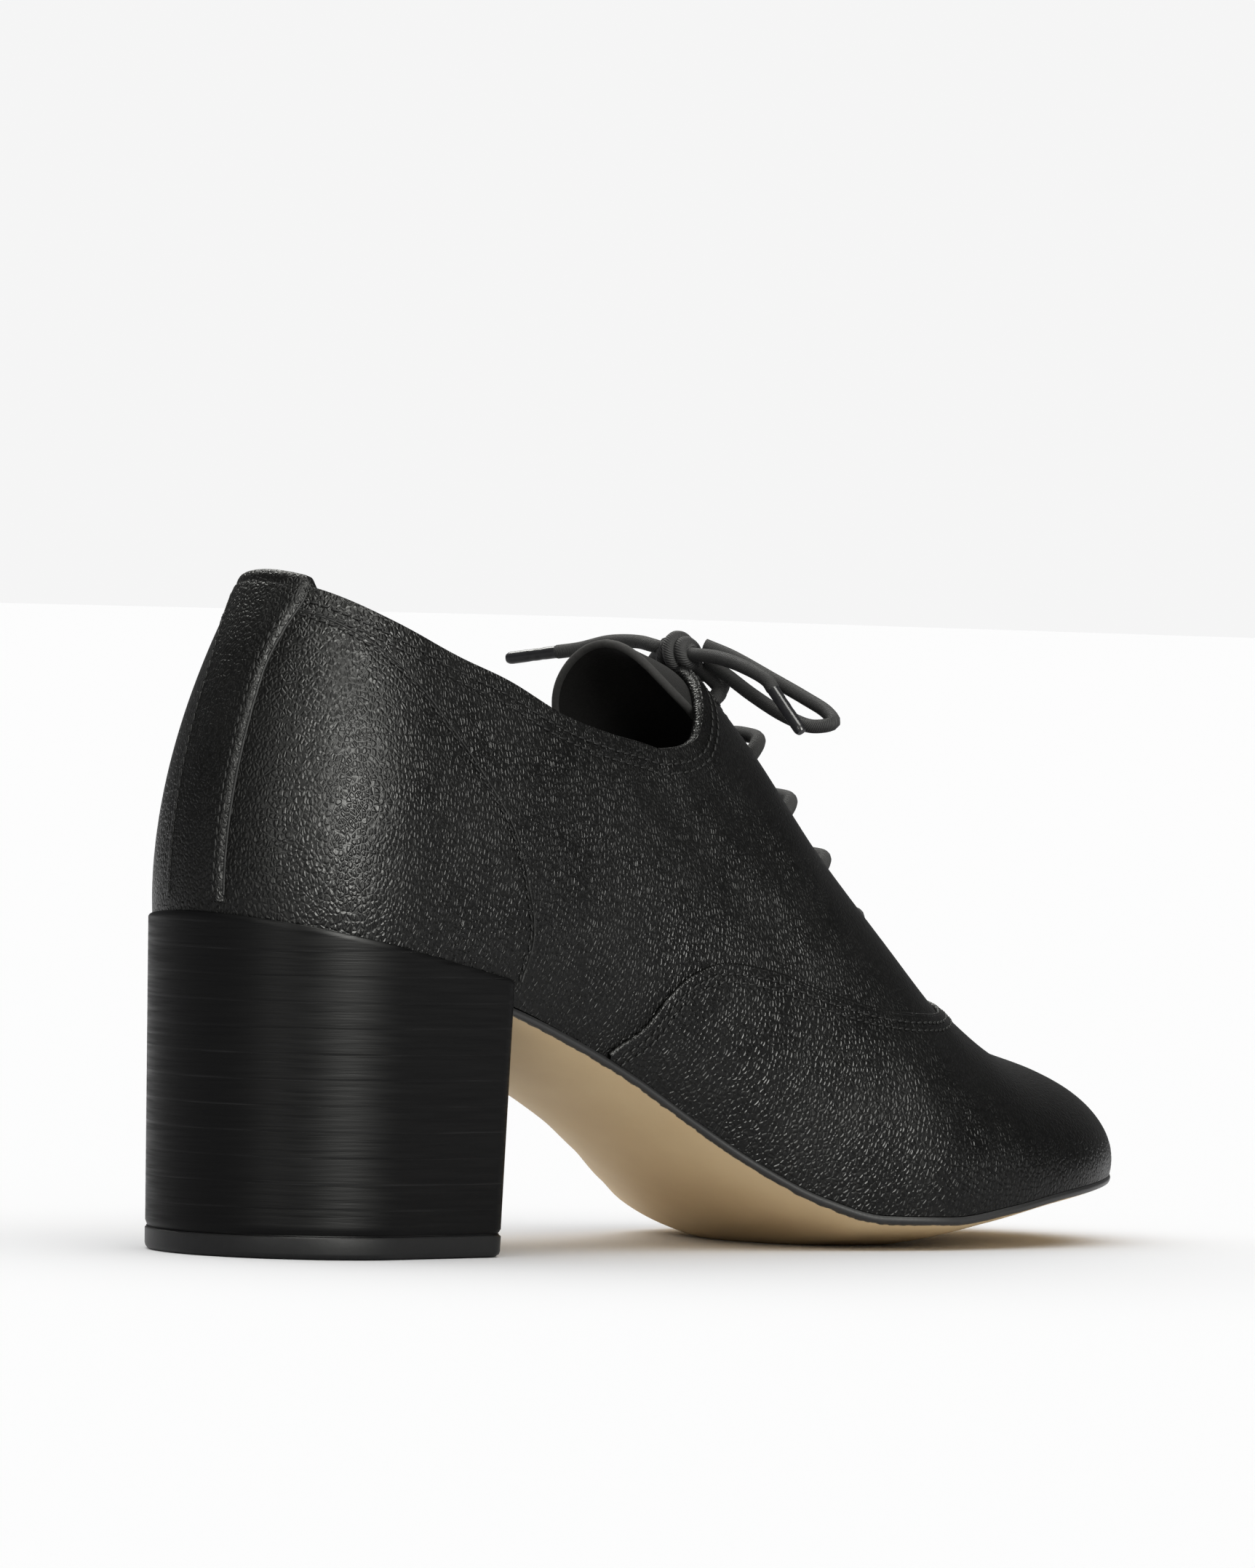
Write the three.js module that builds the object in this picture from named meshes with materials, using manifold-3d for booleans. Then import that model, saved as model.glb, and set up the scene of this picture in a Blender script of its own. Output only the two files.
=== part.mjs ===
// A closed-lacing oxford with a stacked block heel: right shoe, toe along +X, inner (medial) side along +Y.
// Millimetres, +Z up. The origin is the middle of the heel's flat bottom.
import * as THREE from "three";
import { mergeVertices } from "three/addons/utils/BufferGeometryUtils.js";
import Module from "manifold-3d";

const wasm = await Module();
wasm.setup();

// Driving sizes of the last
const shoeLength = 239; // back of the heel to the toe tip at the feather line
const heelBack = 29; // from the back of the upper to the middle of the heel
const ballWidth = 82; // across the feather line at the ball
const heelPitch = 61; // height of the feather line at the back of the seat
const ridgeHeight = 165; // height of the last's highest point, over the collar
const toeDepth = 42; // length of the rounded toe
const toeSquareness = 2.15; // exponent of the toe's outline, 2 is an ellipse

// Walls and clearances
const wall = 2; // upper leather with its lining
const fit = 0.3; // between pieces that follow one another
const overlay = 0.9; // a lapped leather piece stands this much proud

// Heel
const heelTop = 66; // height of the block's top edge at the back
const heelTopSlope = 11.9; // degrees that the top edge falls towards the toe
const heelWidth = 60;
const heelFront = 30.4; // middle of the heel to its breast
const heelCorner = 4; // radius of the two breast corners
const heelTaper = 1; // how far the block draws in from top to floor
const heelRound = 1.2; // radius of the bottom edge
const liftHeight = 4.4;

// Bottom
const soleEdge = 1.4; // thickness that shows at the edge
const soleLip = 0.8; // how far the edge stands out from the upper
const insoleThickness = 2;
const beddingSag = 2.4; // how far the foot bed dips across at the ball

// Collar
const collarBack = 130.5; // height of the top line at the back
const collarDip = 98.4; // its lowest point at the ankle
const facingTop = 116.4; // height of the facing's top corner

// Throat, tongue and lace
const throatGap = 7; // between the facings
const throatTop = 93; // along X, from the middle of the heel
const throatEnd = 157; // front end of the opening along X
const eyeletPairs = 6;
const eyeletBore = 3.4;
const eyeletInset = 5; // from the facing's edge to the hole
const laceWidth = 2.8;
const laceArch = 1.3; // how far a bar stands off the upper in the middle
const knotHalf = 4.6; // half the knot's length across the throat
const knotRadius = 3.4;
const agletWidth = 2.4;
const agletLength = 10.5;
const tongueThickness = 1.6;
const tongueWidth = 52;
const tongueTop = 121; // height of its rounded end
const tongueRound = 0.45; // length of its rounded end as a share of half its width
const tongueBend = 17; // radius of its curve across, past the facings
const tongueLean = 7; // how far back its free end leans
const tongueTuck = 8; // how far it reaches in under the vamp

// Back strip
const stripHalf = 7.6; // half its width up the heel
const stripFlare = 2.4; // how much wider each side is at the top
const tabRise = 2.6; // how far its fold stands over the top line
const foldDepth = 11; // how far the fold reaches down inside

// Fineness of the surfaces
const heelSteps = 8;
const bodySteps = 20;
const toeSteps = 9;
const sideSteps = 10;
const tongueSteps = 16;

const toeTip = shoeLength - heelBack;
const toeStart = toeTip - toeDepth;

// Sections of the last. at: share of the shoe's length from the heel's back. lateral, medial: half widths at the
// feather line, as shares of the ball width. feather: its height, share of the heel pitch. arch: how much higher it
// lies on the medial side, same share. outBulge, inBulge: how far the side swells, shares of the ball width.
const lastTable = [
  { at: 0.0, lateral: 0.35, medial: 0.35, feather: 1.0, arch: 0.0, outBulge: 0.026, inBulge: 0.026 },
  { at: 0.123, lateral: 0.348, medial: 0.342, feather: 0.908, arch: 0.0, outBulge: 0.03, inBulge: 0.03 },
  { at: 0.243, lateral: 0.335, medial: 0.325, feather: 0.8, arch: 0.0, outBulge: 0.045, inBulge: 0.055 },
  { at: 0.315, lateral: 0.327, medial: 0.284, feather: 0.7, arch: 0.01, outBulge: 0.05, inBulge: 0.075 },
  { at: 0.387, lateral: 0.333, medial: 0.238, feather: 0.575, arch: 0.03, outBulge: 0.05, inBulge: 0.09 },
  { at: 0.453, lateral: 0.352, medial: 0.225, feather: 0.43, arch: 0.05, outBulge: 0.045, inBulge: 0.09 },
  { at: 0.517, lateral: 0.389, medial: 0.26, feather: 0.289, arch: 0.055, outBulge: 0.035, inBulge: 0.07 },
  { at: 0.58, lateral: 0.432, medial: 0.33, feather: 0.178, arch: 0.04, outBulge: 0.025, inBulge: 0.045 },
  { at: 0.639, lateral: 0.475, medial: 0.402, feather: 0.12, arch: 0.01, outBulge: 0.02, inBulge: 0.03 },
  { at: 0.707, lateral: 0.512, medial: 0.45, feather: 0.115, arch: 0.0, outBulge: 0.018, inBulge: 0.022 },
  { at: 0.774, lateral: 0.52, medial: 0.46, feather: 0.148, arch: 0.0, outBulge: 0.015, inBulge: 0.02 },
  { at: 0.85, lateral: 0.505, medial: 0.435, feather: 0.195, arch: 0.0, outBulge: 0.012, inBulge: 0.015 },
  { at: 1.0, lateral: 0.47, medial: 0.4, feather: 0.25, arch: 0.0, outBulge: 0.01, inBulge: 0.01 },
];

// The ridge that each section climbs to. at: share of the length of the section's foot. ridgeAt: share of the length
// of its top. height: share of the ridge height. shift: sideways, share of the ball width. boxy: 2 is an ellipse.
const ridgeTable = [
  { at: 0.0, ridgeAt: 0.231, height: 1.0, shift: 0.0, boxy: 1.75 },
  { at: 0.123, ridgeAt: 0.277, height: 1.0, shift: 0.0, boxy: 1.6 },
  { at: 0.243, ridgeAt: 0.333, height: 0.98, shift: 0.0, boxy: 1.68 },
  { at: 0.315, ridgeAt: 0.379, height: 0.94, shift: 0.0, boxy: 1.8 },
  { at: 0.387, ridgeAt: 0.426, height: 0.875, shift: 0.0, boxy: 1.88 },
  { at: 0.453, ridgeAt: 0.472, height: 0.8, shift: 0.0, boxy: 1.94 },
  { at: 0.517, ridgeAt: 0.523, height: 0.715, shift: 0.0, boxy: 1.98 },
  { at: 0.58, ridgeAt: 0.576, height: 0.633, shift: 0.0, boxy: 2.0 },
  { at: 0.639, ridgeAt: 0.631, height: 0.53, shift: 0.0, boxy: 2.0 },
  { at: 0.707, ridgeAt: 0.695, height: 0.421, shift: -0.005, boxy: 2.0 },
  { at: 0.774, ridgeAt: 0.757, height: 0.318, shift: -0.01, boxy: 2.0 },
  { at: 0.85, ridgeAt: 0.836, height: 0.242, shift: -0.02, boxy: 2.05 },
  { at: 0.92, ridgeAt: 0.891, height: 0.218, shift: -0.025, boxy: 2.1 },
  { at: 1.0, ridgeAt: 0.925, height: 0.198, shift: -0.03, boxy: 2.1 },
];

// A smooth curve through a table's column that never overshoots its rows.
function through(rows, key, from = "at") {
  const x = rows.map((row) => row[from]);
  const y = rows.map((row) => row[key]);
  const slopes = x.slice(1).map((next, i) => (y[i + 1] - y[i]) / (next - x[i]));
  const tangents = x.map((_, i) => {
    if (i === 0) return slopes[0];
    if (i === x.length - 1) return slopes[i - 1];
    const [before, after] = [slopes[i - 1], slopes[i]];
    return before * after <= 0 ? 0 : (2 * before * after) / (before + after);
  });
  return (at) => {
    const clamped = Math.min(Math.max(at, x[0]), x[x.length - 1]);
    let i = 0;
    while (i < x.length - 2 && clamped > x[i + 1]) i++;
    const span = x[i + 1] - x[i];
    const t = (clamped - x[i]) / span;
    const rise = y[i + 1] - y[i];
    const a = tangents[i] * span - rise;
    const b = rise - tangents[i + 1] * span;
    return y[i] + t * rise + t * (1 - t) * (a * (1 - t) + b * t);
  };
}

const lastColumns = {};
for (const key of Object.keys(lastTable[0])) lastColumns[key] = through(lastTable, key);
const ridgeColumns = {};
for (const key of Object.keys(ridgeTable[0])) ridgeColumns[key] = through(ridgeTable, key);

const shareAt = (x) => (x + heelBack) / shoeLength;
const xAt = (share) => share * shoeLength - heelBack;

// How far the outline closes in at the rounded heel and toe, 1 between them.
function closing(x) {
  if (x < 0) return Math.sqrt(Math.max(0, 1 - (x / heelBack) ** 2));
  if (x <= toeStart) return 1;
  const along = Math.min(1, (x - toeStart) / toeDepth);
  return Math.max(0, 1 - along ** toeSquareness) ** (1 / toeSquareness);
}

// The stations along the shoe, close together where the outline turns.
function stations() {
  const list = [];
  for (let i = 0; i < heelSteps; i++) list.push(-heelBack * Math.cos((i / heelSteps) * Math.PI * 0.5));
  for (let i = 0; i < bodySteps; i++) list.push((i / bodySteps) * toeStart);
  for (let i = 0; i <= toeSteps; i++) list.push(toeStart + toeDepth * Math.sin((i / toeSteps) * Math.PI * 0.5));
  return list;
}

const featherHeight = (x, side) => {
  const at = shareAt(x);
  const lift = side > 0 ? lastColumns.arch(at) * closing(x) : 0;
  return heelPitch * (lastColumns.feather(at) + lift);
};
const featherHalf = (x, side) =>
  ballWidth * closing(x) * lastColumns[side > 0 ? "medial" : "lateral"](shareAt(x));

// A point of the last's surface. side: -1 lateral, 1 medial. turn: 0 at the feather line, 1 on the ridge.
function lastPoint(x, side, turn) {
  const at = shareAt(x);
  const foot = new THREE.Vector3(x, side * featherHalf(x, side), featherHeight(x, side));
  const top = new THREE.Vector3(
    xAt(ridgeColumns.ridgeAt(at)),
    ballWidth * ridgeColumns.shift(at),
    ridgeHeight * ridgeColumns.height(at),
  );
  const power = 2 / ridgeColumns.boxy(at);
  const inward = 1 - Math.cos(turn * Math.PI * 0.5) ** power;
  const upward = Math.sin(turn * Math.PI * 0.5) ** power;
  const swell = 6.75 * upward * (1 - upward) ** 2 * ballWidth;
  const bulge = swell * lastColumns[side > 0 ? "inBulge" : "outBulge"](at);
  const outward = new THREE.Vector2(foot.x - top.x, foot.y - top.y).normalize();
  const sideways = new THREE.Vector2(0, side);
  const heading = closing(x) < 1 ? outward.lerp(sideways, closing(x) ** 2).normalize() : sideways;
  return new THREE.Vector3(
    foot.x + (top.x - foot.x) * inward + heading.x * bulge,
    foot.y + (top.y - foot.y) * inward + heading.y * bulge,
    foot.z + (top.z - foot.z) * upward,
  );
}

// The last as rows of points from the lateral feather line over the ridge to the medial one, pushed out by an offset.
function lastGrid(offset) {
  const places = stations();
  const columns = 2 * sideSteps;
  const bare = places.map((x) => {
    const row = [];
    for (let j = 0; j <= columns; j++) {
      const side = j <= sideSteps ? -1 : 1;
      row.push(lastPoint(x, side, side < 0 ? j / sideSteps : (columns - j) / sideSteps));
    }
    return row;
  });
  if (offset === 0) return bare;
  const last = places.length - 1;
  return bare.map((row, i) =>
    row.map((point, j) => {
      const end = i === 0 || i === last;
      const mirrored = bare[i === 0 ? 1 : last - 1][columns - j];
      const before = i === 0 ? mirrored : bare[i - 1][j];
      const after = i === last ? mirrored : bare[i + 1][j];
      const along = end ? new THREE.Vector3(0, i === 0 ? -1 : 1, 0) : after.clone().sub(before);
      const across = row[Math.min(j + 1, columns)].clone().sub(row[Math.max(j - 1, 0)]);
      if (end && j > sideSteps) along.negate();
      const normal = along.cross(across).normalize();
      if (end && j === sideSteps) normal.set(0, 0, 1);
      if (j === 0 || j === columns) normal.setZ(0).normalize();
      return point.clone().addScaledVector(normal, offset);
    }),
  );
}

// Triangles gathered by hand, then closed into one solid.
class Skin {
  constructor() {
    this.points = [];
  }
  face(a, b, c) {
    this.points.push(a.x, a.y, a.z, b.x, b.y, b.z, c.x, c.y, c.z);
  }
  quad(a, b, c, d) {
    this.face(a, b, c);
    this.face(a, c, d);
  }
  solid() {
    const geometry = new THREE.BufferGeometry();
    geometry.setAttribute("position", new THREE.Float32BufferAttribute(this.points, 3));
    return solidOf(geometry);
  }
}

// A closed geometry as a manifold solid, with the triangles that have collapsed left out.
function solidOf(geometry) {
  const bare = geometry.index ? geometry.toNonIndexed() : geometry.clone();
  bare.deleteAttribute("normal");
  bare.deleteAttribute("uv");
  const merged = mergeVertices(bare, 1e-3);
  const index = [];
  for (let i = 0; i < merged.index.count; i += 3) {
    const [a, b, c] = [0, 1, 2].map((k) => merged.index.getX(i + k));
    if (a !== b && b !== c && a !== c) index.push(a, b, c);
  }
  const mesh = new wasm.Mesh({
    numProp: 3,
    vertProperties: new Float32Array(merged.attributes.position.array),
    triVerts: new Uint32Array(index),
  });
  return new wasm.Manifold(mesh);
}

// The solid between two grids of the same rows and columns, the first of them on top.
function sheetSolid(up, down) {
  const skin = new Skin();
  const [rows, columns] = [up.length - 1, up[0].length - 1];
  for (let i = 0; i < rows; i++) {
    for (let j = 0; j < columns; j++) {
      skin.quad(up[i][j], up[i + 1][j], up[i + 1][j + 1], up[i][j + 1]);
      skin.quad(down[i][j + 1], down[i + 1][j + 1], down[i + 1][j], down[i][j]);
    }
    skin.quad(up[i + 1][0], up[i][0], down[i][0], down[i + 1][0]);
    skin.quad(up[i][columns], up[i + 1][columns], down[i + 1][columns], down[i][columns]);
  }
  for (let j = 0; j < columns; j++) {
    skin.quad(up[0][j], up[0][j + 1], down[0][j + 1], down[0][j]);
    skin.quad(up[rows][j + 1], up[rows][j], down[rows][j], down[rows][j + 1]);
  }
  return skin.solid();
}

// The last as a closed solid, grown by an offset, with its underside pushed down by a drop.
function lastSolid(offset, drop = 0) {
  const grid = lastGrid(offset);
  const skin = new Skin();
  const down = (p) => new THREE.Vector3(p.x, p.y, p.z - drop);
  const columns = 2 * sideSteps;
  for (let i = 0; i < grid.length - 1; i++) {
    for (let j = 0; j < columns; j++) skin.quad(grid[i][j], grid[i + 1][j], grid[i + 1][j + 1], grid[i][j + 1]);
    const [a, b] = [grid[i][0], grid[i + 1][0]];
    const [c, d] = [grid[i + 1][columns], grid[i][columns]];
    if (drop) skin.quad(b, a, down(a), down(b));
    if (drop) skin.quad(d, c, down(c), down(d));
    skin.quad(down(a), down(d), down(c), down(b));
  }
  return skin.solid();
}

// The layer between two offsets of the last, open underneath.
const leaf = (from, to) => lastSolid(to).subtract(lastSolid(from, heelPitch));

// A prism along Y whose outline is drawn in the side view.
function sidePrism(outline, from = -ballWidth, to = ballWidth) {
  const shape = new THREE.Shape(outline.map(([x, z]) => new THREE.Vector2(x, z)));
  const geometry = new THREE.ExtrudeGeometry(shape, { depth: to - from, bevelEnabled: false });
  geometry.rotateX(Math.PI / 2).translate(0, to, 0);
  return solidOf(geometry);
}

// A tube along a smooth curve through the points.
function tube(points, width, sides = 8, step = 2.2) {
  const curve = new THREE.CatmullRomCurve3(points, false, "centripetal");
  const section = new THREE.Shape();
  for (let i = 0; i < sides; i++) {
    const angle = (i / sides) * 2 * Math.PI;
    const corner = [0.5 * width * Math.cos(angle), 0.5 * width * Math.sin(angle)];
    if (i === 0) section.moveTo(...corner);
    else section.lineTo(...corner);
  }
  const steps = Math.max(2, Math.round(curve.getLength() / (step * width)));
  return new THREE.ExtrudeGeometry(section, { steps, extrudePath: curve, bevelEnabled: false });
}

// Top line in the side view. at: share of the shoe's length. rise: share of the way from the dip up to the back
// edge, and in the second table up to the facing's top corner.
const topLineTable = [
  { at: -0.046, rise: 1.3 },
  { at: 0.061, rise: 1.0 },
  { at: 0.128, rise: 0.759 },
  { at: 0.194, rise: 0.546 },
  { at: 0.247, rise: 0.409 },
  { at: 0.312, rise: 0.196 },
  { at: 0.368, rise: 0.085 },
  { at: 0.41, rise: 0.03 },
  { at: 0.425, rise: 0.0 },
];
const facingTable = [
  { at: 0.425, rise: 0.0 },
  { at: 0.455, rise: 0.03 },
  { at: 0.478, rise: 0.12 },
  { at: 0.495, rise: 0.32 },
  { at: 0.515, rise: 0.66 },
  { at: 0.537, rise: 1.0 },
];

function topLine(lift = 0) {
  const back = through(topLineTable, "rise");
  const front = through(facingTable, "rise");
  const [low, dip, high] = [topLineTable[0].at, facingTable[0].at, facingTable[facingTable.length - 1].at];
  const points = [];
  for (let i = 0; i < 20; i++) {
    const at = low + (dip - low) * (i / 20);
    points.push([xAt(at), collarDip + (collarBack - collarDip) * back(at) + lift]);
  }
  for (let i = 0; i <= 10; i++) {
    const at = dip + (high - dip) * (i / 10);
    points.push([xAt(at), collarDip + (facingTop - collarDip) * front(at) + lift]);
  }
  return points;
}

// Everything over the top line, which is open.
function collarCutter() {
  const line = topLine();
  const [lastX, lastZ] = line[line.length - 1];
  return sidePrism([...line, [lastX + 8, lastZ + 20], [lastX + 8, 2 * ridgeHeight], [-80, 2 * ridgeHeight]]);
}

// Height and slope of the ridge in the middle of the shoe.
const ridgeLine = through(
  ridgeTable.map((row) => ({ x: xAt(row.ridgeAt), z: ridgeHeight * row.height })),
  "z",
  "x",
);

// A place over the instep: along X on the ridge, lifted along the ridge's own normal.
function overRidge(x, y, lift) {
  const slope = ridgeLine(x + 1) - ridgeLine(x - 1);
  const normal = new THREE.Vector3(-slope / 2, 0, 1).normalize();
  return new THREE.Vector3(x, y, ridgeLine(x)).addScaledVector(normal, lift);
}

// Directions over the instep: up along the throat from its front end, sideways, and out of the instep.
function throatFrame(from, to) {
  const along = to.clone().sub(from).normalize();
  const out = new THREE.Vector3(along.z, 0, -along.x);
  if (out.z < 0) out.negate();
  const across = out.clone().cross(along);
  return new THREE.Matrix4().makeBasis(along, across, out).setPosition(from);
}

const throatFront = overRidge(throatEnd, 0, 0);
const throatBack = overRidge(throatTop, 0, 0);
const throatLength = throatFront.distanceTo(throatBack);
const instep = throatFrame(throatFront, throatBack);

// An outline drawn on the instep's plane, pushed through it square.
function instepPrism(shape, below, above) {
  const extrusion = { depth: below + above, bevelEnabled: false, curveSegments: 10 };
  const geometry = new THREE.ExtrudeGeometry(shape, extrusion);
  return solidOf(geometry.translate(0, 0, -below).applyMatrix4(instep));
}

// The gap between the facings, a slot with a round front end.
function throatCutter() {
  const half = throatGap / 2;
  const shape = new THREE.Shape();
  shape.moveTo(throatLength + 3 * throatGap, half);
  shape.lineTo(half, half);
  shape.absarc(half, 0, half, Math.PI / 2, (3 * Math.PI) / 2, false);
  shape.lineTo(throatLength + 3 * throatGap, -half);
  return instepPrism(shape, 4 * wall + throatGap, 4 * throatGap);
}

// Where the eyelets lie along the throat, from its front end, and how far out.
const eyeletAt = (k) => throatLength * (0.045 + (0.79 * k) / (eyeletPairs - 1));
const eyeletOut = throatGap / 2 + eyeletInset;

function eyeletCutters() {
  const cutters = [];
  for (let k = 0; k < eyeletPairs; k++) {
    for (const side of [-1, 1]) {
      const hole = new THREE.Shape();
      hole.absarc(eyeletAt(k), side * eyeletOut, eyeletBore / 2, 0, 2 * Math.PI);
      const geometry = new THREE.ExtrudeGeometry(hole, { depth: 24, bevelEnabled: false, curveSegments: 5 });
      cutters.push(solidOf(geometry.translate(0, 0, -16).applyMatrix4(instep)));
    }
  }
  return cutters;
}

// The upper's surface over a place on the instep's plane, lifted square off that plane.
const fromInstep = instep.clone().invert();
function onInstep(along, across, lift) {
  const side = across < 0 ? 1 : -1;
  let x = throatEnd - (along * (throatEnd - throatTop)) / throatLength;
  let place;
  for (let round = 0; round < 30; round++) {
    let [low, high] = [0, 1];
    for (let i = 0; i < 16; i++) {
      const turn = (low + high) / 2;
      if (Math.abs(lastPoint(x, side, turn).y) > Math.abs(across)) low = turn;
      else high = turn;
    }
    place = lastPoint(x, side, high).applyMatrix4(fromInstep);
    x = Math.min(toeStart, Math.max(0, x + 0.5 * (place.x - along)));
  }
  return new THREE.Vector3(along, across, place.z + lift).applyMatrix4(instep);
}

// The tongue, a sheet under the facings. It is flatter than the last past them, rounded at its free end and narrower
// under the vamp. Its rows are places on the instep's plane.
function makeTongue() {
  const climb = new THREE.Vector3().setFromMatrixColumn(instep, 0).z;
  const reach = (tongueTop - throatFront.z) / climb;
  const [half, root] = [tongueWidth / 2, tongueWidth * 0.3];
  const [rows, columns] = [tongueSteps, 8];
  const freeFrom = 0.88 * throatLength;
  const rowsOf = (depth) => {
    const list = [];
    for (let i = 0; i <= rows; i++) {
      const edge = reach * (1 - (1 - i / rows) ** 1.5) - tongueTuck * (1 - i / rows) ** 1.5;
      const straight = root + (half - root) * THREE.MathUtils.smoothstep(edge, freeFrom, 1.05 * throatLength);
      const round = Math.max(0, (edge - reach + tongueRound * half) / (tongueRound * half));
      const across = straight * Math.sqrt(Math.max(0.0036, 1 - round ** 2));
      const row = [];
      for (let j = 0; j <= columns; j++) {
        const v = across * ((2 * j) / columns - 1);
        const here = onInstep(edge, v, 0);
        const up = onInstep(edge + 1, v, 0).sub(onInstep(edge - 1, v, 0));
        const over = onInstep(edge, v + 1, 0).sub(onInstep(edge, v - 1, 0));
        const normal = up.cross(over).normalize();
        const under = here.clone().addScaledVector(normal, -wall - fit - depth);
        const middle = onInstep(edge, 0, -wall - fit - depth).applyMatrix4(fromInstep);
        const flat = new THREE.Vector3(edge, v, middle.z - v ** 2 / (2 * tongueBend)).applyMatrix4(instep);
        flat.x -= tongueLean * THREE.MathUtils.smoothstep(edge, freeFrom, reach);
        const free = THREE.MathUtils.smoothstep(edge, freeFrom, 1.05 * throatLength);
        row.push(under.lerp(flat, free));
      }
      list.push(row);
    }
    return list;
  };
  return sheetSolid(rowsOf(fit), rowsOf(fit + tongueThickness));
}

// The lace's bars over the throat, out of one eyelet and into the other, joined by strands that cross in the gap.
function makeLaceBars() {
  const lying = laceWidth / 2 + fit + overlay / 2;
  const pieces = [];
  for (let k = 0; k < eyeletPairs; k++) {
    const half = [
      [eyeletOut, -0.8 * wall],
      [eyeletOut, 0.5 * lying],
      [eyeletOut - 0.5 * laceWidth, lying + laceArch],
      [throatGap / 2 - 0.5 * laceWidth, lying + 1.3 * laceArch],
    ];
    const profile = [...half, ...half.slice().reverse().map(([across, lift]) => [-across, lift])];
    const path = profile.map(([across, lift]) => onInstep(eyeletAt(k), across, lift));
    pieces.push(solidOf(tube(path, laceWidth, 6, 1.5)));
  }
  const aside = throatGap / 2 - laceWidth / 2 - 2 * fit;
  const deep = laceWidth / 2 - wall;
  for (let k = 0; k + 1 < eyeletPairs; k++) {
    const side = k % 2 ? 1 : -1;
    const [near, far] = [eyeletAt(k), eyeletAt(k + 1)];
    const strand = [
      onInstep(near, side * aside, lying + laceArch),
      onInstep(near + laceWidth, side * aside, deep),
      onInstep(far - laceWidth, -side * aside, deep),
      onInstep(far, -side * aside, lying + laceArch),
    ];
    pieces.push(solidOf(tube(strand, laceWidth, 6, 2.2)));
  }
  return pieces.reduce((sum, piece) => sum.add(piece));
}

// The bow. Each row is a place from the knot's middle: out, forward and up, in millimetres along the loop's heading.
const knotPlace = overRidge(throatTop + 5.6, 0, knotRadius - 2 * fit);
const lateral = { x: 0.3, y: -0.95 };
const medial = { x: 0.3, y: 0.95 };
const medialBack = { x: -0.25, y: 0.97 };
const lateralLoopRows = [
  { out: 5.6, forward: 0.2, up: 1.7 },
  { out: 10.3, forward: 1.6, up: -0.4 },
  { out: 18, forward: 3.0, up: -4.6 },
  { out: 25, forward: 3.2, up: -8.0 },
  { out: 31, forward: 2.4, up: -10.8 },
  { out: 34.6, forward: 0.2, up: -12.8 },
  { out: 32, forward: -1.8, up: -13.6 },
  { out: 26.5, forward: -2.2, up: -11.8 },
  { out: 18, forward: -1.0, up: -8.0 },
  { out: 10.3, forward: 0.2, up: -3.9 },
  { out: 5.6, forward: 0.9, up: -1.6 },
];
const lateralEndRows = [
  { out: 5.9, forward: -2.6, up: -0.2 },
  { out: 13, forward: -4.4, up: -0.6 },
  { out: 20, forward: -5.6, up: -2.2 },
  { out: 26, forward: -6.2, up: -4.8 },
  { out: 28, forward: -6.6, up: -6.8 },
];
const medialEndRows = [
  { out: 5.2, forward: -1.5, up: 1.4 },
  { out: 9, forward: -0.6, up: 2.0 },
  { out: 16.3, forward: 0.4, up: 1.8 },
  { out: 23.2, forward: 0.4, up: 0.2 },
  { out: 28.6, forward: 0.0, up: -0.6 },
];

function bowPath(rows, heading, turned = 1) {
  return rows.map(({ out, forward, up }) => {
    const front = new THREE.Vector2(Math.abs(heading.y), turned * Math.abs(heading.x) * Math.sign(-heading.y));
    return new THREE.Vector3(
      knotPlace.x + heading.x * out + front.x * forward,
      knotPlace.y + heading.y * out - front.y * forward,
      knotPlace.z + up,
    );
  });
}

function makeKnot() {
  const profile = [
    new THREE.Vector2(0, -knotHalf),
    new THREE.Vector2(0.86 * knotRadius, -knotHalf),
    new THREE.Vector2(knotRadius, -0.4 * knotHalf),
    new THREE.Vector2(knotRadius, 0.4 * knotHalf),
    new THREE.Vector2(0.86 * knotRadius, knotHalf),
    new THREE.Vector2(0, knotHalf),
  ];
  return solidOf(new THREE.LatheGeometry(profile, 12).translate(knotPlace.x, knotPlace.y, knotPlace.z));
}

const lace = (path) => solidOf(tube(path, laceWidth, 8, 1.9));

// An aglet carries straight on from the end of a path.
function makeAglet(path) {
  const end = path[path.length - 1];
  const heading = end.clone().sub(path[path.length - 2]).normalize();
  const from = end.clone().addScaledVector(heading, fit);
  const geometry = new THREE.CylinderGeometry(agletWidth / 2, agletWidth / 2, agletLength, 8);
  geometry.applyQuaternion(new THREE.Quaternion().setFromUnitVectors(new THREE.Vector3(0, 1, 0), heading));
  const middle = from.addScaledVector(heading, agletLength / 2);
  return solidOf(geometry.translate(middle.x, middle.y, middle.z));
}

// The vamp laps over the quarters along this line of the side view: shares of the length and the ridge height.
const vampTable = [
  { at: 0.3, height: 0.12 },
  { at: 0.36, height: 0.236 },
  { at: 0.39, height: 0.264 },
  { at: 0.414, height: 0.303 },
  { at: 0.437, height: 0.327 },
  { at: 0.473, height: 0.342 },
  { at: 0.523, height: 0.333 },
  { at: 0.577, height: 0.309 },
  { at: 0.653, height: 0.285 },
  { at: 0.715, height: 0.279 },
  { at: 0.766, height: 0.291 },
  { at: 0.791, height: 0.34 },
  { at: 0.803, height: 0.455 },
];

function vampPrism() {
  const line = vampTable.map((row) => [xAt(row.at), ridgeHeight * row.height]);
  const [first, last] = [line[0], line[line.length - 1]];
  return sidePrism([...line, [shoeLength, last[1]], [shoeLength, -heelPitch], [first[0], -heelPitch]]);
}

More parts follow.
